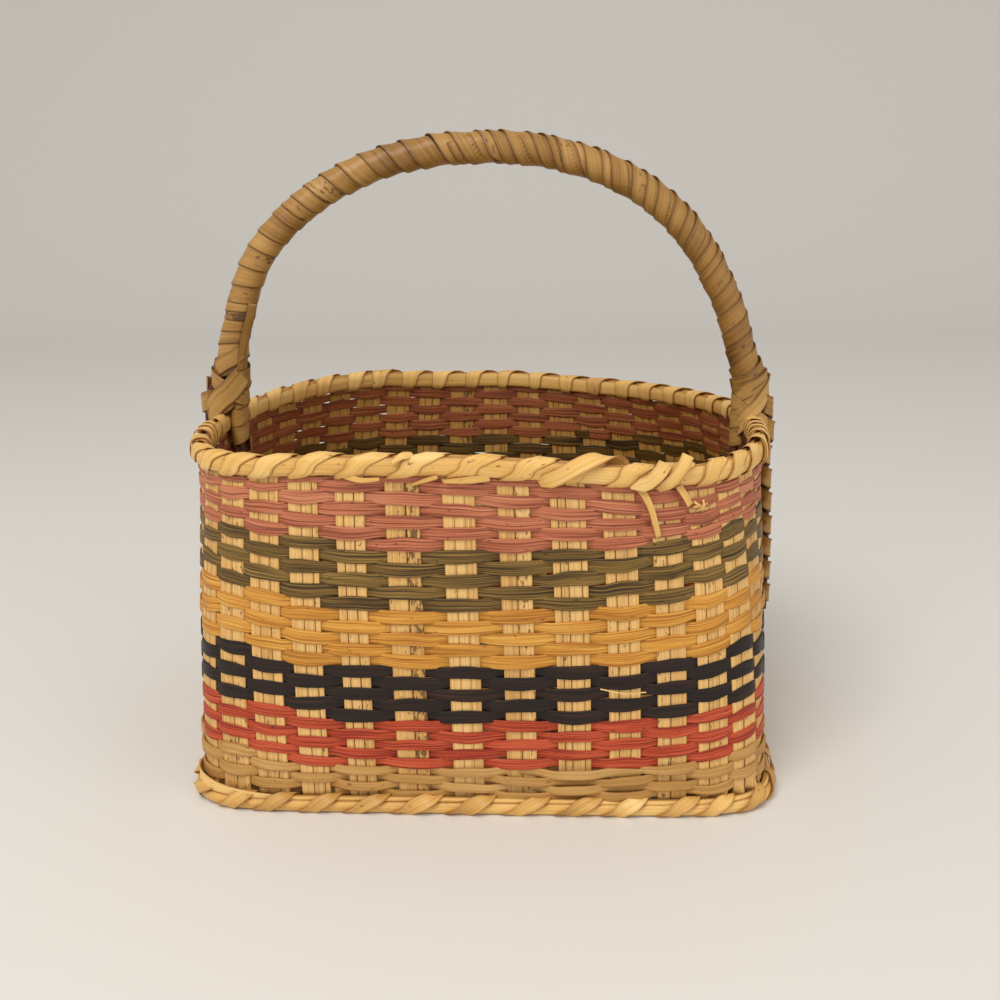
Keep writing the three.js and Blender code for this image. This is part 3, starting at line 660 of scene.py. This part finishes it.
# One stake: its splints lie side by side, each as wide as its share of the group's width.
def buildStake(run, index, places, lines, axis, parity, split):
    shares = np.array(stakes["splits"][split % len(stakes["splits"])])
    total = stakes["groupWidth"] + chance.normal(0, stakes["groupJitter"])
    edges = np.r_[0, np.cumsum(shares / shares.sum())] * total - total / 2
    strips = []
    for splint, (low, high) in enumerate(zip(edges[:-1], edges[1:])):
        looks = {"tone": 0.5 + chance.normal(0, stakes["toneJitter"])}
        key = (index, splint) if run == "front_back" else None
        looks["fleck"] = stakes["flecks"].get(key, chance.uniform(*stakes["fleckRange"]))
        middle, width = (low + high) / 2, high - low - stakes["seam"]
        strips.append(stakeSplint(places, lines, axis, parity, middle, width, looks))
    count = f"{index + 1:02d}"
    buildPiece(f"{run}_splints_{count}", strips, "stake_splint", f"{run}_stake_{count}")


for index, place in enumerate(frontPlaces):
    ends = (place, wall["places"] / 2 - place)
    buildStake("front_back", index, ends, sideLines, 1, index, index)
for index, place in enumerate(sidePlaces):
    ends = (wall["places"] - place, place)
    buildStake("left_right", index, ends, frontLines, 0, index + 1, index + 5)
print("stakes set")

# The rim: a hoop outside and inside the stake ends, and one lashing round both. The angles, the
# shares of the way to the next turn and the shares of the width describe one turn.
rim = {
    "hoopThickness": 0.0024,
    "hoopHeight": 0.0086,
    "hoopOffset": 0.0023,
    "middle": 0.1711,
    "high": 0.0053,
    "reach": 0.0041,
    "leanChange": 0.22,
    "leanJitter": 0.05,
    "angles": (-90, -62, -38, -14, 12, 36, 58, 78, 96, 114, 136, 165, 200, 240),
    "shares": (0.0, 0.07, 0.15, 0.25, 0.36, 0.48, 0.60, 0.70, 0.78, 0.84, 0.89, 0.92, 0.94, 0.97),
    "widthShares": (0.5, 0.62, 0.82, 0.96, 1, 1, 1, 1, 1.05, 1.1, 1.15, 1.15, 1.0, 0.7),
    "lashingWidth": 0.0080,
    "lashingThickness": 0.0006,
    "widthJitter": 0.08,
    "lashingTilt": 0.08,
    "tone": 0.52,
    "toneJitter": 0.08,
    "fleckJitter": 0.3,
    "startPlace": 0.3,
    "startJitter": 0.045,
}
perSpan = 4  # points of a strand's path from one given point to the next
loopSquash = 0.8  # below 1 a loop is squarer than an oval
slopeStep = 0.05  # places to either side that give the rim's direction


# The size of a value raised to a power, with the value's own sign.
def signedPower(value, power):
    return np.sign(value) * np.abs(value) ** power


# A closed band that follows the wall at a height and an offset, with a slow sine wobble.
def wallRing(height, offset, ringHeight, ringThickness, section, wobble=0.0, facing=1):
    place = np.arange(0, wall["places"], 0.125)
    turn = 2 * np.pi * place / wall["places"]
    rise = height + wobble * np.sin(5 * turn + offset * 900)
    normal = wallNormal(place, rise)
    centre = wallPoint(place, rise) + normal * offset
    looks = {"closed": True, "tone": 0.5 + 0.1 * np.sin(3 * turn), "inner": 0.0}
    return sweep(centre, normal * facing, ringHeight, ringThickness, section, **looks)


# A strand given by place, offset from the wall and height. It lies flat on an oval with the
# look's middle and half sizes, so outward is (offset / reach^2, rise / high^2).
def wallStrand(controls, width, look, slanted=True, **looks):
    path = smoothPath(controls, perSpan)
    place, offset, height = path.T
    normal = wallNormal(place, height)
    centre = wallPoint(place, height) + normal * (offset + look.get("offset", 0))[:, None]
    out = normal * (offset / look["reach"] ** 2)[:, None]
    out = out + upward * ((height - look["middle"]) / look["high"] ** 2)[:, None]
    if slanted:
        slope = wallPoint(place + slopeStep, height) - wallPoint(place - slopeStep, height)
        looks["along"] = unit(slope)
    return sweep(centre, unit(out), width, look["lashingThickness"], inner=0.0, **looks)


# A strand that turns round an oval again and again as it goes along the wall: offset = reach *
# cos and rise = high * sin of the angle, both squashed, and place = start + share^lean.
def windAlong(look, starts, lean):
    angle = np.radians(look["angles"])
    place = starts[:, None] + np.asarray(look["shares"]) ** np.reshape(lean, (-1, 1))
    offset = look["reach"] * signedPower(np.cos(angle), loopSquash)
    height = look["middle"] + look["high"] * signedPower(np.sin(angle), loopSquash)
    offset, height = np.broadcast_to(offset, place.shape), np.broadcast_to(height, place.shape)
    return np.stack([place, offset, height], -1).reshape(-1, 3)


# Where each turn of a lashing starts, one turn for each stake spacing.
def loopStarts(look):
    jitter = chance.normal(0, look["startJitter"], wall["places"])
    return look["startPlace"] + np.arange(wall["places"]) + jitter


# A whole lashing: its width follows the shares of each turn and wanders a little.
def wallLashing(look, starts, lean, **looks):
    windings = windAlong(look, starts, lean)
    perLoop = len(look["angles"])
    turns = np.arange(perSpan * (len(windings) - 1) + 1) / (perSpan * perLoop)
    widthShares = (*look["widthShares"], look["widthShares"][0])
    share = np.interp((turns - np.floor(turns)) * perLoop, np.arange(perLoop + 1), widthShares)
    width = look["lashingWidth"] * (1 + wander(turns, look["widthJitter"])) * share
    tone = look["tone"] + wander(turns * 2, look["toneJitter"])
    fleck = wander(turns, look["fleckJitter"])
    return wallStrand(windings, width, look, tone=tone, fleck=fleck, **looks)


hoopSize = (rim["hoopHeight"], rim["hoopThickness"], domeSection)
for name, side in (("outer", 1), ("inner", -1)):
    hoop = wallRing(rim["middle"], side * rim["hoopOffset"], *hoopSize, facing=side)
    buildPiece(f"{name}_rim_band", [hoop], "rim_cane", f"{name}_rim_hoop")

starts = loopStarts(rim)
lean = 1 - rim["leanChange"] * np.cos(2 * np.pi * starts / wall["places"])
lean = lean + chance.normal(0, rim["leanJitter"], wall["places"])
lashings = [wallLashing(rim, starts, lean, tilt=rim["lashingTilt"])]

# Thin strands coiled round the rim beside the handle, and loose ends of cane. Each loose end is
# (first width, last width, tone, points), a point as (place, height, distance out of the wall).
knots = {
    "starts": (7.7, -9.7),
    "turns": 5,
    "spacing": 0.42,
    "startJitter": 0.22,
    "reach": 0.0049,
    "high": 0.0064,
    "width": 0.0028,
    "tone": 0.6,
    "perPoint": 10,
    "widening": 12,
    "lift": 0.001,
    "ends": (
        (0.002, 0.0036, 0.6, ((-1.62, 0.1738, 0.0054), (-1.44, 0.1766, 0.0046),
            (-1.27, 0.1762, 0.0012))),
        (0.0034, 0.0016, 0.45, ((-2.56, 0.1672, 0.002), (-2.24, 0.1658, 0.004),
            (-1.88, 0.166, 0.003))),
        (0.001, 0.002, 0.4, ((-1.3, 0.1636, 0.0034), (-1.1, 0.1655, 0.0044),
            (-0.86, 0.1672, 0.0036))),
        (0.0016, 0.0034, 0.45, ((-0.76, 0.165, 0.0034), (-0.36, 0.1658, 0.0042),
            (0.1, 0.1672, 0.0026))),
        (0.004, 0.0074, 0.56, ((0.98, 0.1654, 0.001), (1.12, 0.1674, 0.0044),
            (1.34, 0.1702, 0.0062), (1.66, 0.1748, 0.006), (2.02, 0.1782, 0.003),
            (2.36, 0.1786, -0.0016), (2.62, 0.1756, -0.005), (2.74, 0.17, -0.0054))),
        (0.0008, 0.0066, 0.66, ((2.72, 0.1668, 0.0044), (2.9, 0.1684, 0.006),
            (3.08, 0.17, 0.0064), (3.3, 0.1738, 0.0062), (3.5, 0.1766, 0.003),
            (3.66, 0.1766, -0.0012))),
        (0.0036, 0.0056, 0.62, ((3.34, 0.1652, 0.001), (3.46, 0.168, 0.0048),
            (3.62, 0.1712, 0.0066), (3.82, 0.1762, 0.007), (3.98, 0.1812, 0.0064))),
        (0.0034, 0.0026, 0.5, ((2.92, 0.1672, 0.003), (3.06, 0.161, 0.0046),
            (3.16, 0.153, 0.0046), (3.27, 0.1392, 0.003))),
        (0.0034, 0.003, 0.5, ((3.8, 0.1672, 0.003), (3.92, 0.162, 0.0048), (4.02, 0.157, 0.0044))),
        (0.0012, 0.0008, 0.45, ((4.16, 0.1585, 0.003), (4.3, 0.1555, 0.0058),
            (4.44, 0.154, 0.0048))),
        (0.001, 0.001, 0.6, ((4.2, 0.153, 0.0036), (4.3, 0.1562, 0.0062), (4.36, 0.1594, 0.0046))),
        (0.0012, 0.0008, 0.35, ((4.12, 0.1556, 0.0036), (4.3, 0.1566, 0.0056),
            (4.48, 0.1572, 0.0044))),
        (0.0006, 0.0006, 0.8, ((2.0, 0.066, 0.003), (2.46, 0.0646, 0.0046),
            (2.92, 0.0644, 0.004))),
        (0.01, 0.0016, 0.7, ((-7.0, 0.0104, 0.0022), (-6.7, 0.0106, 0.0042),
            (-6.3, 0.0102, 0.0046), (-5.8, 0.009, 0.0042), (-5.0, 0.008, 0.004),
            (-4.1, 0.0072, 0.0034))),
    ),
}
coil = {**rim, "reach": knots["reach"], "high": knots["high"]}
coil["shares"] = np.multiply(rim["shares"], knots["spacing"])
for start in knots["starts"]:
    steps = np.arange(knots["turns"]) + chance.normal(0, knots["startJitter"], knots["turns"])
    windings = windAlong(coil, start + knots["spacing"] * steps, 1)
    lashings.append(wallStrand(windings, knots["width"], coil, tone=knots["tone"]))
for firstWidth, lastWidth, tone, points in knots["ends"]:
    place, height, away = smoothPath(points, knots["perPoint"]).T
    normal = wallNormal(place, height)
    centre = wallPoint(place, height) + normal * away[:, None]
    over = np.maximum(height - rim["middle"], 0) / rim["high"] ** 2
    out = normal * ((away + knots["lift"]) / rim["reach"] ** 2)[:, None] + upward * over[:, None]
    count = len(place)
    width = np.linspace(firstWidth, lastWidth, count)
    if lastWidth >= firstWidth:
        widths = (firstWidth, lastWidth, lastWidth)
        width = np.interp(np.arange(count), (0, knots["widening"], count), widths)
    lashings.append(sweep(centre, unit(out), width, rim["lashingThickness"], tone=tone, inner=0.0))
buildPiece("rim_binding", lashings, "rim_cane", "rim_lashing")
print("rim bound")

# The foot: a thick strand and a thin one above it round the base, and a slanted lashing.
foot = {
    "lowHeight": 0.0034,
    "lowOffset": 0.0037,
    "lowSize": (0.0060, 0.0040),
    "highHeight": 0.0070,
    "highOffset": 0.0027,
    "highSize": (0.0024, 0.0030),
    "middle": 0.0044,
    "high": 0.0040,
    "offset": 0.0025,
    "reach": 0.0038,
    "angles": (-90, -62, -38, -14, 12, 36, 58, 78, 96, 120, 150, 190, 235),
    "shares": (0.0, 0.10, 0.20, 0.32, 0.45, 0.58, 0.68, 0.76, 0.82, 0.87, 0.90, 0.93, 0.97),
    "widthShares": (0.7, 0.85, 0.95, 1, 1, 1, 0.95, 0.9, 0.85, 0.75, 0.7, 0.7, 0.7),
    "lashingWidth": 0.0072,
    "widthJitter": 0.12,
    "lashingThickness": 0.0006,
    "tone": 0.40,
    "toneJitter": 0.1,
    "fleckJitter": 0.3,
    "startPlace": 0.1,
    "startJitter": 0.05,
    "wobble": 0.0003,
    "lowest": 0.0001,
}
lowRod = wallRing(foot["lowHeight"], foot["lowOffset"], *foot["lowSize"], roundSection)
highSize = (*foot["highSize"], roundSection, foot["wobble"])
highRod = wallRing(foot["highHeight"], foot["highOffset"], *highSize)
buildPiece("foot_strands", [lowRod, highRod], "rim_cane", "foot_rod")
stitches = wallLashing(foot, loopStarts(foot), 1, slanted=False)
stitches["points"][..., 2] = np.maximum(stitches["points"][..., 2], foot["lowest"])
buildPiece("foot_binding", [stitches], "rim_cane", "foot_lashing")
print("foot bound")

# The handle: two bows that straddle the rim, wrapped together by overlapping strands. Side 1 is
# the outer bow and side -1 the inner one. Each strand is (start, end, phase, tone), the first two
# as shares of the handle's length.
handle = {
    "halfSpan": 0.1385,
    "top": 0.304,
    "spring": 0.175,
    "squareness": 2.15,
    "bowWidth": 0.0100,
    "bowThickness": 0.00391,
    "apart": 0.0025,
    "legApart": {1: 0.0092, -1: 0.0070},
    "legEnds": {1: 0.062, -1: 0.070},
    "joinGap": 0.006,
    "leftSpread": (0.207, 0.176),
    "rightSpread": (0.198, 0.168),
    "leanHeights": (0.176, 0.187, 0.196, 0.205, 0.225, 0.240, 0.255, 0.262, 0.280, 0.300),
    "leftLean": (0.0, 0.0034, 0.0040, 0.0040, 0.0040, 0.0020, 0.0, 0.0, 0.0, 0.0),
    "rightLean": (0.0, 0.0002, 0.0030, 0.0042, 0.0045, 0.0045, 0.0032, 0.0025, 0.0010, 0.0),
    "radius": 0.0071,
    "wrapEnds": (0.190, 0.184),
    "strandThickness": 0.0007,
    "tilt": -0.075,
    "leadShares": (0, 0.08, 0.13, 0.25, 0.32, 0.42, 0.50, 0.75, 0.85, 0.93, 1),
    "leads": (0.019, 0.018, 0.0095, 0.0100, 0.019, 0.023, 0.025, 0.026, 0.021, 0.016, 0.015),
    "widthShares": (0, 0.13, 0.30, 0.50, 0.80, 0.90, 1),
    "widths": (0.0100, 0.0112, 0.0124, 0.0128, 0.0124, 0.0098, 0.0092),
    "strands": (
        (0, 1, 0, 0.482), (0, 0.15, 0.5, 0.512), (0.27, 1, 0.5, 0.512), (0.48, 0.87, 0.25, 0.497),
    ),
    "perTurn": 26,
    "phaseJitter": 0.045,
    "thicknessJitter": 0.00012,
    "widthJitter": 0.05,
    "toneJitter": 0.09,
    "fleckJitter": 1.1,
    "fleckMiddle": -0.6,
}


# The handle's middle line is half a superellipse: x = span * |sin|^(2/n), z = spring + rise *
# cos^(2/n), sampled evenly by arc length. Its lower ends lean inwards.
def handleLine(count):
    angle = np.linspace(-np.pi / 2, np.pi / 2, 4001)
    power = 2 / handle["squareness"]
    x = handle["halfSpan"] * signedPower(np.sin(angle), power)
    rise = handle["top"] - handle["spring"]
    z = handle["spring"] + rise * np.clip(np.cos(angle), 0, 1) ** power
    length = np.r_[0, np.cumsum(np.hypot(np.diff(x), np.diff(z)))]
    even = np.linspace(0, length[-1], count)
    x, z = np.interp(even, length, x), np.interp(even, length, z)
    left = np.interp(z, handle["leanHeights"], handle["leftLean"])
    right = np.interp(z, handle["leanHeights"], handle["rightLean"])
    x = x + np.where(x < 0, left, -right)
    line = np.stack([x + wall["middleX"], np.full(count, wall["middleY"]), z], -1)
    travel = unit(np.gradient(line, axis=0))
    return even, line, unit(np.cross(travel, -frontward))


lengths, line, lineOut = handleLine(2400)


# Points or directions along the handle, read off at a length.
def atLength(values, length):
    return np.stack([np.interp(length, lengths, values[:, k]) for k in range(3)], -1)


# How far each bow stands from the middle line: close together above, and towards the rim spread
# by the smooth step between the two heights of its side of the handle.
def bowApart(points, side):
    top, bottom = np.where(points[:, :1] < 0, handle["leftSpread"], handle["rightSpread"]).T
    spread = handle["legApart"][side] - handle["apart"]
    return handle["apart"] + spread * smoothStep(points[:, 2], top, bottom)


bowCentres = {}


# A bow runs up beside the wall, round the middle line at its distance and down again.
def bowStrip(side):
    legHeights = np.linspace(handle["legEnds"][side], wall["rimHeight"] + 0.001, 40)
    legs = []
    for place in (3 * wall["places"] / 4, wall["places"] / 4):
        normal = wallNormal(place, legHeights)
        apart = normal * side * handle["legApart"][side]
        legs.append((wallPoint(place, legHeights) + apart, normal))
    gap = handle["joinGap"]
    inside = (lengths > gap) & (lengths < lengths[-1] - gap)
    arch, archOut = line[inside][::12], lineOut[inside][::12]
    arch = arch + archOut * (side * bowApart(arch, side))[:, None]
    centre = np.vstack([legs[0][0], arch, legs[1][0][::-1]])
    out = np.vstack([legs[0][1], archOut, legs[1][1][::-1]])
    bowCentres[side] = centre
    return sweep(centre, out, handle["bowWidth"], handle["bowThickness"], roundSection)


for name, side in (("outer", 1), ("inner", -1)):
    buildPiece(f"{name}_bow", [bowStrip(side)], "bow_cane", f"{name}_handle_bow")


# Round an oval: offset = outward * long * cosine + frontward * wide * sine, and the direction
# out of it divides by the half sizes instead.
def onOval(outward, cosine, sine, halfLong, halfWide):
    offset = outward * cosine * halfLong + frontward * sine * halfWide
    return offset, unit(outward * cosine / halfLong + frontward * sine / halfWide)


# One wrap strand: it turns round the middle line by one full turn for each lead of length, on
# an oval that widens where the bows spread.
def wrapStrand(start, end, phase, tone):
    length = np.linspace(start, end, 4000)
    base = np.linspace(0, lengths[-1], 6000)
    lead = np.interp(base / lengths[-1], handle["leadShares"], handle["leads"])
    turned = np.r_[0, np.cumsum(np.diff(base) / (0.5 * (lead[1:] + lead[:-1])))]
    turn = np.interp(length, base, turned)
    count = int((turn[-1] - turn[0]) * handle["perTurn"])
    even = np.linspace(turn[0], turn[-1], count)
    length = np.interp(even, turn, length)
    angle = 2 * np.pi * (even + phase + wander(even * 0.6, handle["phaseJitter"]))[:, None]
    centre, normal = atLength(line, length), unit(atLength(lineOut, length))
    halfThick = handle["radius"] + bowApart(centre, 1) - handle["apart"]
    halfThick = (halfThick + wander(even * 3, handle["thicknessJitter"]))[:, None]
    offset, out = onOval(normal, np.cos(angle), np.sin(angle), halfThick, handle["radius"])
    width = np.interp(length / lengths[-1], handle["widthShares"], handle["widths"])
    width = width * (1 + wander(even * 2, handle["widthJitter"]))
    looks = {"tilt": handle["tilt"], "tone": tone + wander(even * 1.5, handle["toneJitter"])}
    looks["fleck"] = wander(even * 1.2, handle["fleckJitter"]) + handle["fleckMiddle"]
    return sweep(centre + offset, out, width, handle["strandThickness"], inner=0.0, **looks)


firstEnd, lastEnd = handle["wrapEnds"]
wrapStart, wrapFinish = lengths[line[:, 2] > firstEnd][0], lengths[line[:, 2] > lastEnd][-1]
strands = []
for startShare, endShare, phase, tone in handle["strands"]:
    ends = np.multiply((startShare, endShare), lengths[-1])
    strands.append(wrapStrand(*np.clip(ends, wrapStart, wrapFinish), phase, tone))
buildPiece("handle_winding", strands, "handle_cane", "handle_wrap")
print("handle wrapped")


# The ties at the feet: slanted loops round both legs, and a winding down each leg past the rim.
feet = {
    # each loop: height, rise inwards, half length, half width, strip width, tone
    "leftLoops": (
        (0.1866, -0.0065, 0.0086, 0.0080, 0.0086, 0.72),
        (0.1825, 0.0120, 0.0112, 0.0087, 0.0114, 0.80),
        (0.1770, 0.0080, 0.0094, 0.0080, 0.0086, 0.72),
        (0.2010, 0.0055, 0.0084, 0.0080, 0.0078, 0.66),
    ),
    "rightLoops": (
        (0.1785, -0.0062, 0.0078, 0.0079, 0.0078, 0.70),
        # this loop's tone of 0.95 paints a highlight on the strip that catches the light
        (0.1722, -0.0118, 0.0084, 0.0086, 0.0074, 0.95),
        (0.1690, 0.0070, 0.0096, 0.0081, 0.0078, 0.76),
        (0.1838, -0.0052, 0.0077, 0.0078, 0.0074, 0.66),
    ),
    "thickness": 0.0007,
    "perLoop": 72,
    "perTurn": 28,
    "leftLeg": {"top": 0.187, "halfThick": 0.0042},
    "rightLeg": {"top": 0.180, "halfThick": 0.0028},
    "leg": {"lead": 0.0095, "halfWide": 0.0060, "width": 0.0100},
    "innerEnd": {"bottom": 0.154, "tone": 0.74},
    "outerEnd": {"bottom": 0.171, "tone": 0.66},
    "toneJitter": 0.08,
}


# A closed oval round both legs, its cosine and sine squashed, raised towards the inside by
# rise * cos.
def footLoop(outward, height, rise, halfLong, halfWide, width, tone):
    angle = np.linspace(0, 2 * np.pi, feet["perLoop"], endpoint=False)[:, None]
    otherSide = line[:, 0] * outward[0] < 0
    middle = line[np.argmin(np.where(otherSide, np.inf, np.abs(line[:, 2] - height)))]
    cosine, sine = (signedPower(wave, loopSquash) for wave in (np.cos(angle), np.sin(angle)))
    offset, out = onOval(outward, cosine, sine, halfLong, halfWide)
    points = middle + offset
    points[:, 2] = height - rise * np.cos(angle[:, 0])
    return sweep(points, out, width, feet["thickness"], closed=True, tone=tone, inner=0.0)


# A strip that turns down round one leg of a bow by one full turn for each lead of height, on an
# oval. Hand is 1 or -1 for the way it turns.
def legWinding(outward, side, top, bottom, lead, hand, halfWide, halfThick, width, tone):
    turns = (top - bottom) / lead
    turn = np.linspace(0, turns, int(feet["perTurn"] * turns))
    height = top - lead * turn
    bow = bowCentres[side]
    leg = bow[: len(bow) // 2] if outward[0] < 0 else bow[len(bow) // 2:][::-1]
    x, y = (np.interp(height, leg[:, 2], leg[:, axis]) for axis in (0, 1))
    angle = 2 * np.pi * turn[:, None] * hand
    offset, out = onOval(outward, np.cos(angle), np.sin(angle), halfThick, halfWide)
    centre = np.stack([x, y, height], -1) + offset
    tone = tone + wander(turn * 2, feet["toneJitter"])
    return sweep(centre, out, width, feet["thickness"], tone=tone, inner=0.0)


# What ties one foot: its loops, and the windings down its legs.
def footStrips(outward, loops, leg):
    hand = outward[0]
    strips = [footLoop(outward, *loop) for loop in loops]
    leg = {**feet["leg"], **leg, "hand": hand}
    strips.append(legWinding(outward, -1, **feet["innerEnd"], **leg))
    if hand < 0:
        strips.append(legWinding(outward, 1, **feet["outerEnd"], **leg))
    return strips


rightward = np.array([1.0, 0, 0])
leftStrips = footStrips(-rightward, feet["leftLoops"], feet["leftLeg"])
rightStrips = footStrips(rightward, feet["rightLoops"], feet["rightLeg"])

# A strip that lies straight up the inner front of the left leg, under the lowest wraps.
strap = {
    "heights": (0.232, 0.196),
    "inward": 0.77,
    "frontward": 0.64,
    "lift": 0.0013,
    "width": 0.0052,
    "thickness": 0.0008,
}
half = len(line) // 2
length = np.interp(np.linspace(*strap["heights"], 24), line[:half, 2], lengths[:half])
out = unit(frontward * strap["frontward"] - atLength(lineOut, length) * strap["inward"])
centre = atLength(line, length) + out * (handle["radius"] + strap["lift"])
leftStrips.append(sweep(centre, out, strap["width"], strap["thickness"], tone=0.6, inner=0.0))
buildPiece("left_foot_loops", leftStrips, "handle_cane", "left_foot_tie")
buildPiece("right_foot_loops", rightStrips, "handle_cane", "right_foot_tie")

# The open wrap on the right outer leg, turning round the leg as it goes down.
legWrap = {
    "top": 0.184,
    "bottom": 0.066,
    "lead": 0.0127,
    "hand": -1,
    "halfWide": 0.0054,
    "halfThick": 0.0027,
    "width": 0.0095,
    "tone": 0.54,
}
winding = legWinding(rightward, 1, **legWrap)
buildPiece("right_leg_winding", [winding], "handle_cane", "right_leg_wrap")
print("feet tied")

# The studio: a pale sweep of floor and backdrop, soft light and the photograph's camera.
studio = {
    "floorColour": (226, 224, 220),
    "floorEnd": 1.6,
    "bendRadius": 0.9,
    "sky": 0.62,
    "lampTarget": (0, 0, 0.12),
    "focal": 1083.0,
    "height": 0.28283,
    "pitch": 15.911,
    "roll": 1.344,
    "turn": 3.876,
    "startX": -0.00724,
    "startY": 0.56202,
}

# Floor profile: flat, then a quarter circle up into an upright backdrop.
bend = np.linspace(0, np.pi / 2, 24)[1:]
end, radius = studio["floorEnd"], studio["bendRadius"]
profileY = np.r_[np.linspace(-3, end, 30), end + radius * np.sin(bend), np.full(10, end + radius)]
profileZ = np.r_[np.zeros(30), radius - radius * np.cos(bend), np.linspace(1.0, 4, 10)]
gridX, gridY = np.meshgrid(np.linspace(-4, 4, 30), profileY)
gridZ = np.broadcast_to(profileZ[:, None], gridX.shape)
points = np.stack([gridX, gridY, gridZ], -1).reshape(-1, 3)
index = np.arange(len(points)).reshape(gridX.shape)
faces = np.stack([index[:-1, :-1], index[:-1, 1:], index[1:, 1:], index[1:, :-1]], -1)
faces = faces.reshape(-1, 4)
backdropMesh = bpy.data.meshes.new("backdrop")
backdropMesh.from_pydata(points.tolist(), [], faces.tolist())
backdropMesh.polygons.foreach_set("use_smooth", np.ones(len(faces), bool))
backdrop = bpy.data.objects.new("backdrop", backdropMesh)
bpy.context.scene.collection.objects.link(backdrop)
floorMaterial = bpy.data.materials.new("paleFloor")
floorMaterial.use_nodes = True
floorShader = floorMaterial.node_tree.nodes["Principled BSDF"]
floorShader.inputs["Base Color"].default_value = srgb(*studio["floorColour"])
floorShader.inputs["Roughness"].default_value = 0.7
backdropMesh.materials.append(floorMaterial)

world = bpy.data.worlds.new("softSky")
bpy.context.scene.world = world
world.use_nodes = True
sky = world.node_tree.nodes["Background"].inputs
sky["Color"].default_value = (1.0, 0.97, 0.92, 1)
sky["Strength"].default_value = studio["sky"]


def placeThing(thing, right, above, back, position):
    # the four columns are where the thing's own axes point and where it stands
    pose = np.eye(4)
    pose[:3] = np.stack([right, above, back, position], -1)
    thing.matrix_world = Matrix(pose.tolist())
    bpy.context.scene.collection.objects.link(thing)


def addLamp(name, position, size, power, colour):
    lamp = bpy.data.lights.new(name, "AREA")
    lamp.size = size
    lamp.energy = power
    lamp.color = colour
    back = unit(np.subtract(position, studio["lampTarget"]))
    right = unit(np.cross(upward, back))
    placeThing(bpy.data.objects.new(name, lamp), right, np.cross(back, right), back, position)


addLamp("keyLamp", (-0.45, -1.0, 1.5), 0.9, 17, (1.0, 0.96, 0.90))
addLamp("fillLamp", (1.3, -0.9, 0.8), 1.2, 4, (1.0, 0.98, 0.96))

pitch, roll, turn = np.radians([studio["pitch"], studio["roll"], studio["turn"]])
alongX = np.array([np.cos(turn), np.sin(turn), 0])
alongY = np.array([-np.sin(turn), np.cos(turn), 0])
forward = np.cos(pitch) * alongY - np.sin(pitch) * upward
lifted = np.sin(pitch) * alongY + np.cos(pitch) * upward
right = np.cos(roll) * alongX - np.sin(roll) * lifted
above = np.sin(roll) * alongX + np.cos(roll) * lifted
eye = -(studio["startX"] * alongX + studio["startY"] * alongY) + studio["height"] * upward
eye = eye + [wall["middleX"], wall["middleY"], 0]
cameraData = bpy.data.cameras.new("photoCamera")
cameraData.sensor_width = 36
cameraData.lens = studio["focal"] * 36 / 1000
cameraData.clip_end = 30
camera = bpy.data.objects.new("photoCamera", cameraData)
placeThing(camera, right, above, -forward, eye)
bpy.context.scene.camera = camera
bpy.context.scene.view_settings.view_transform = "Standard"
print("studio lit")
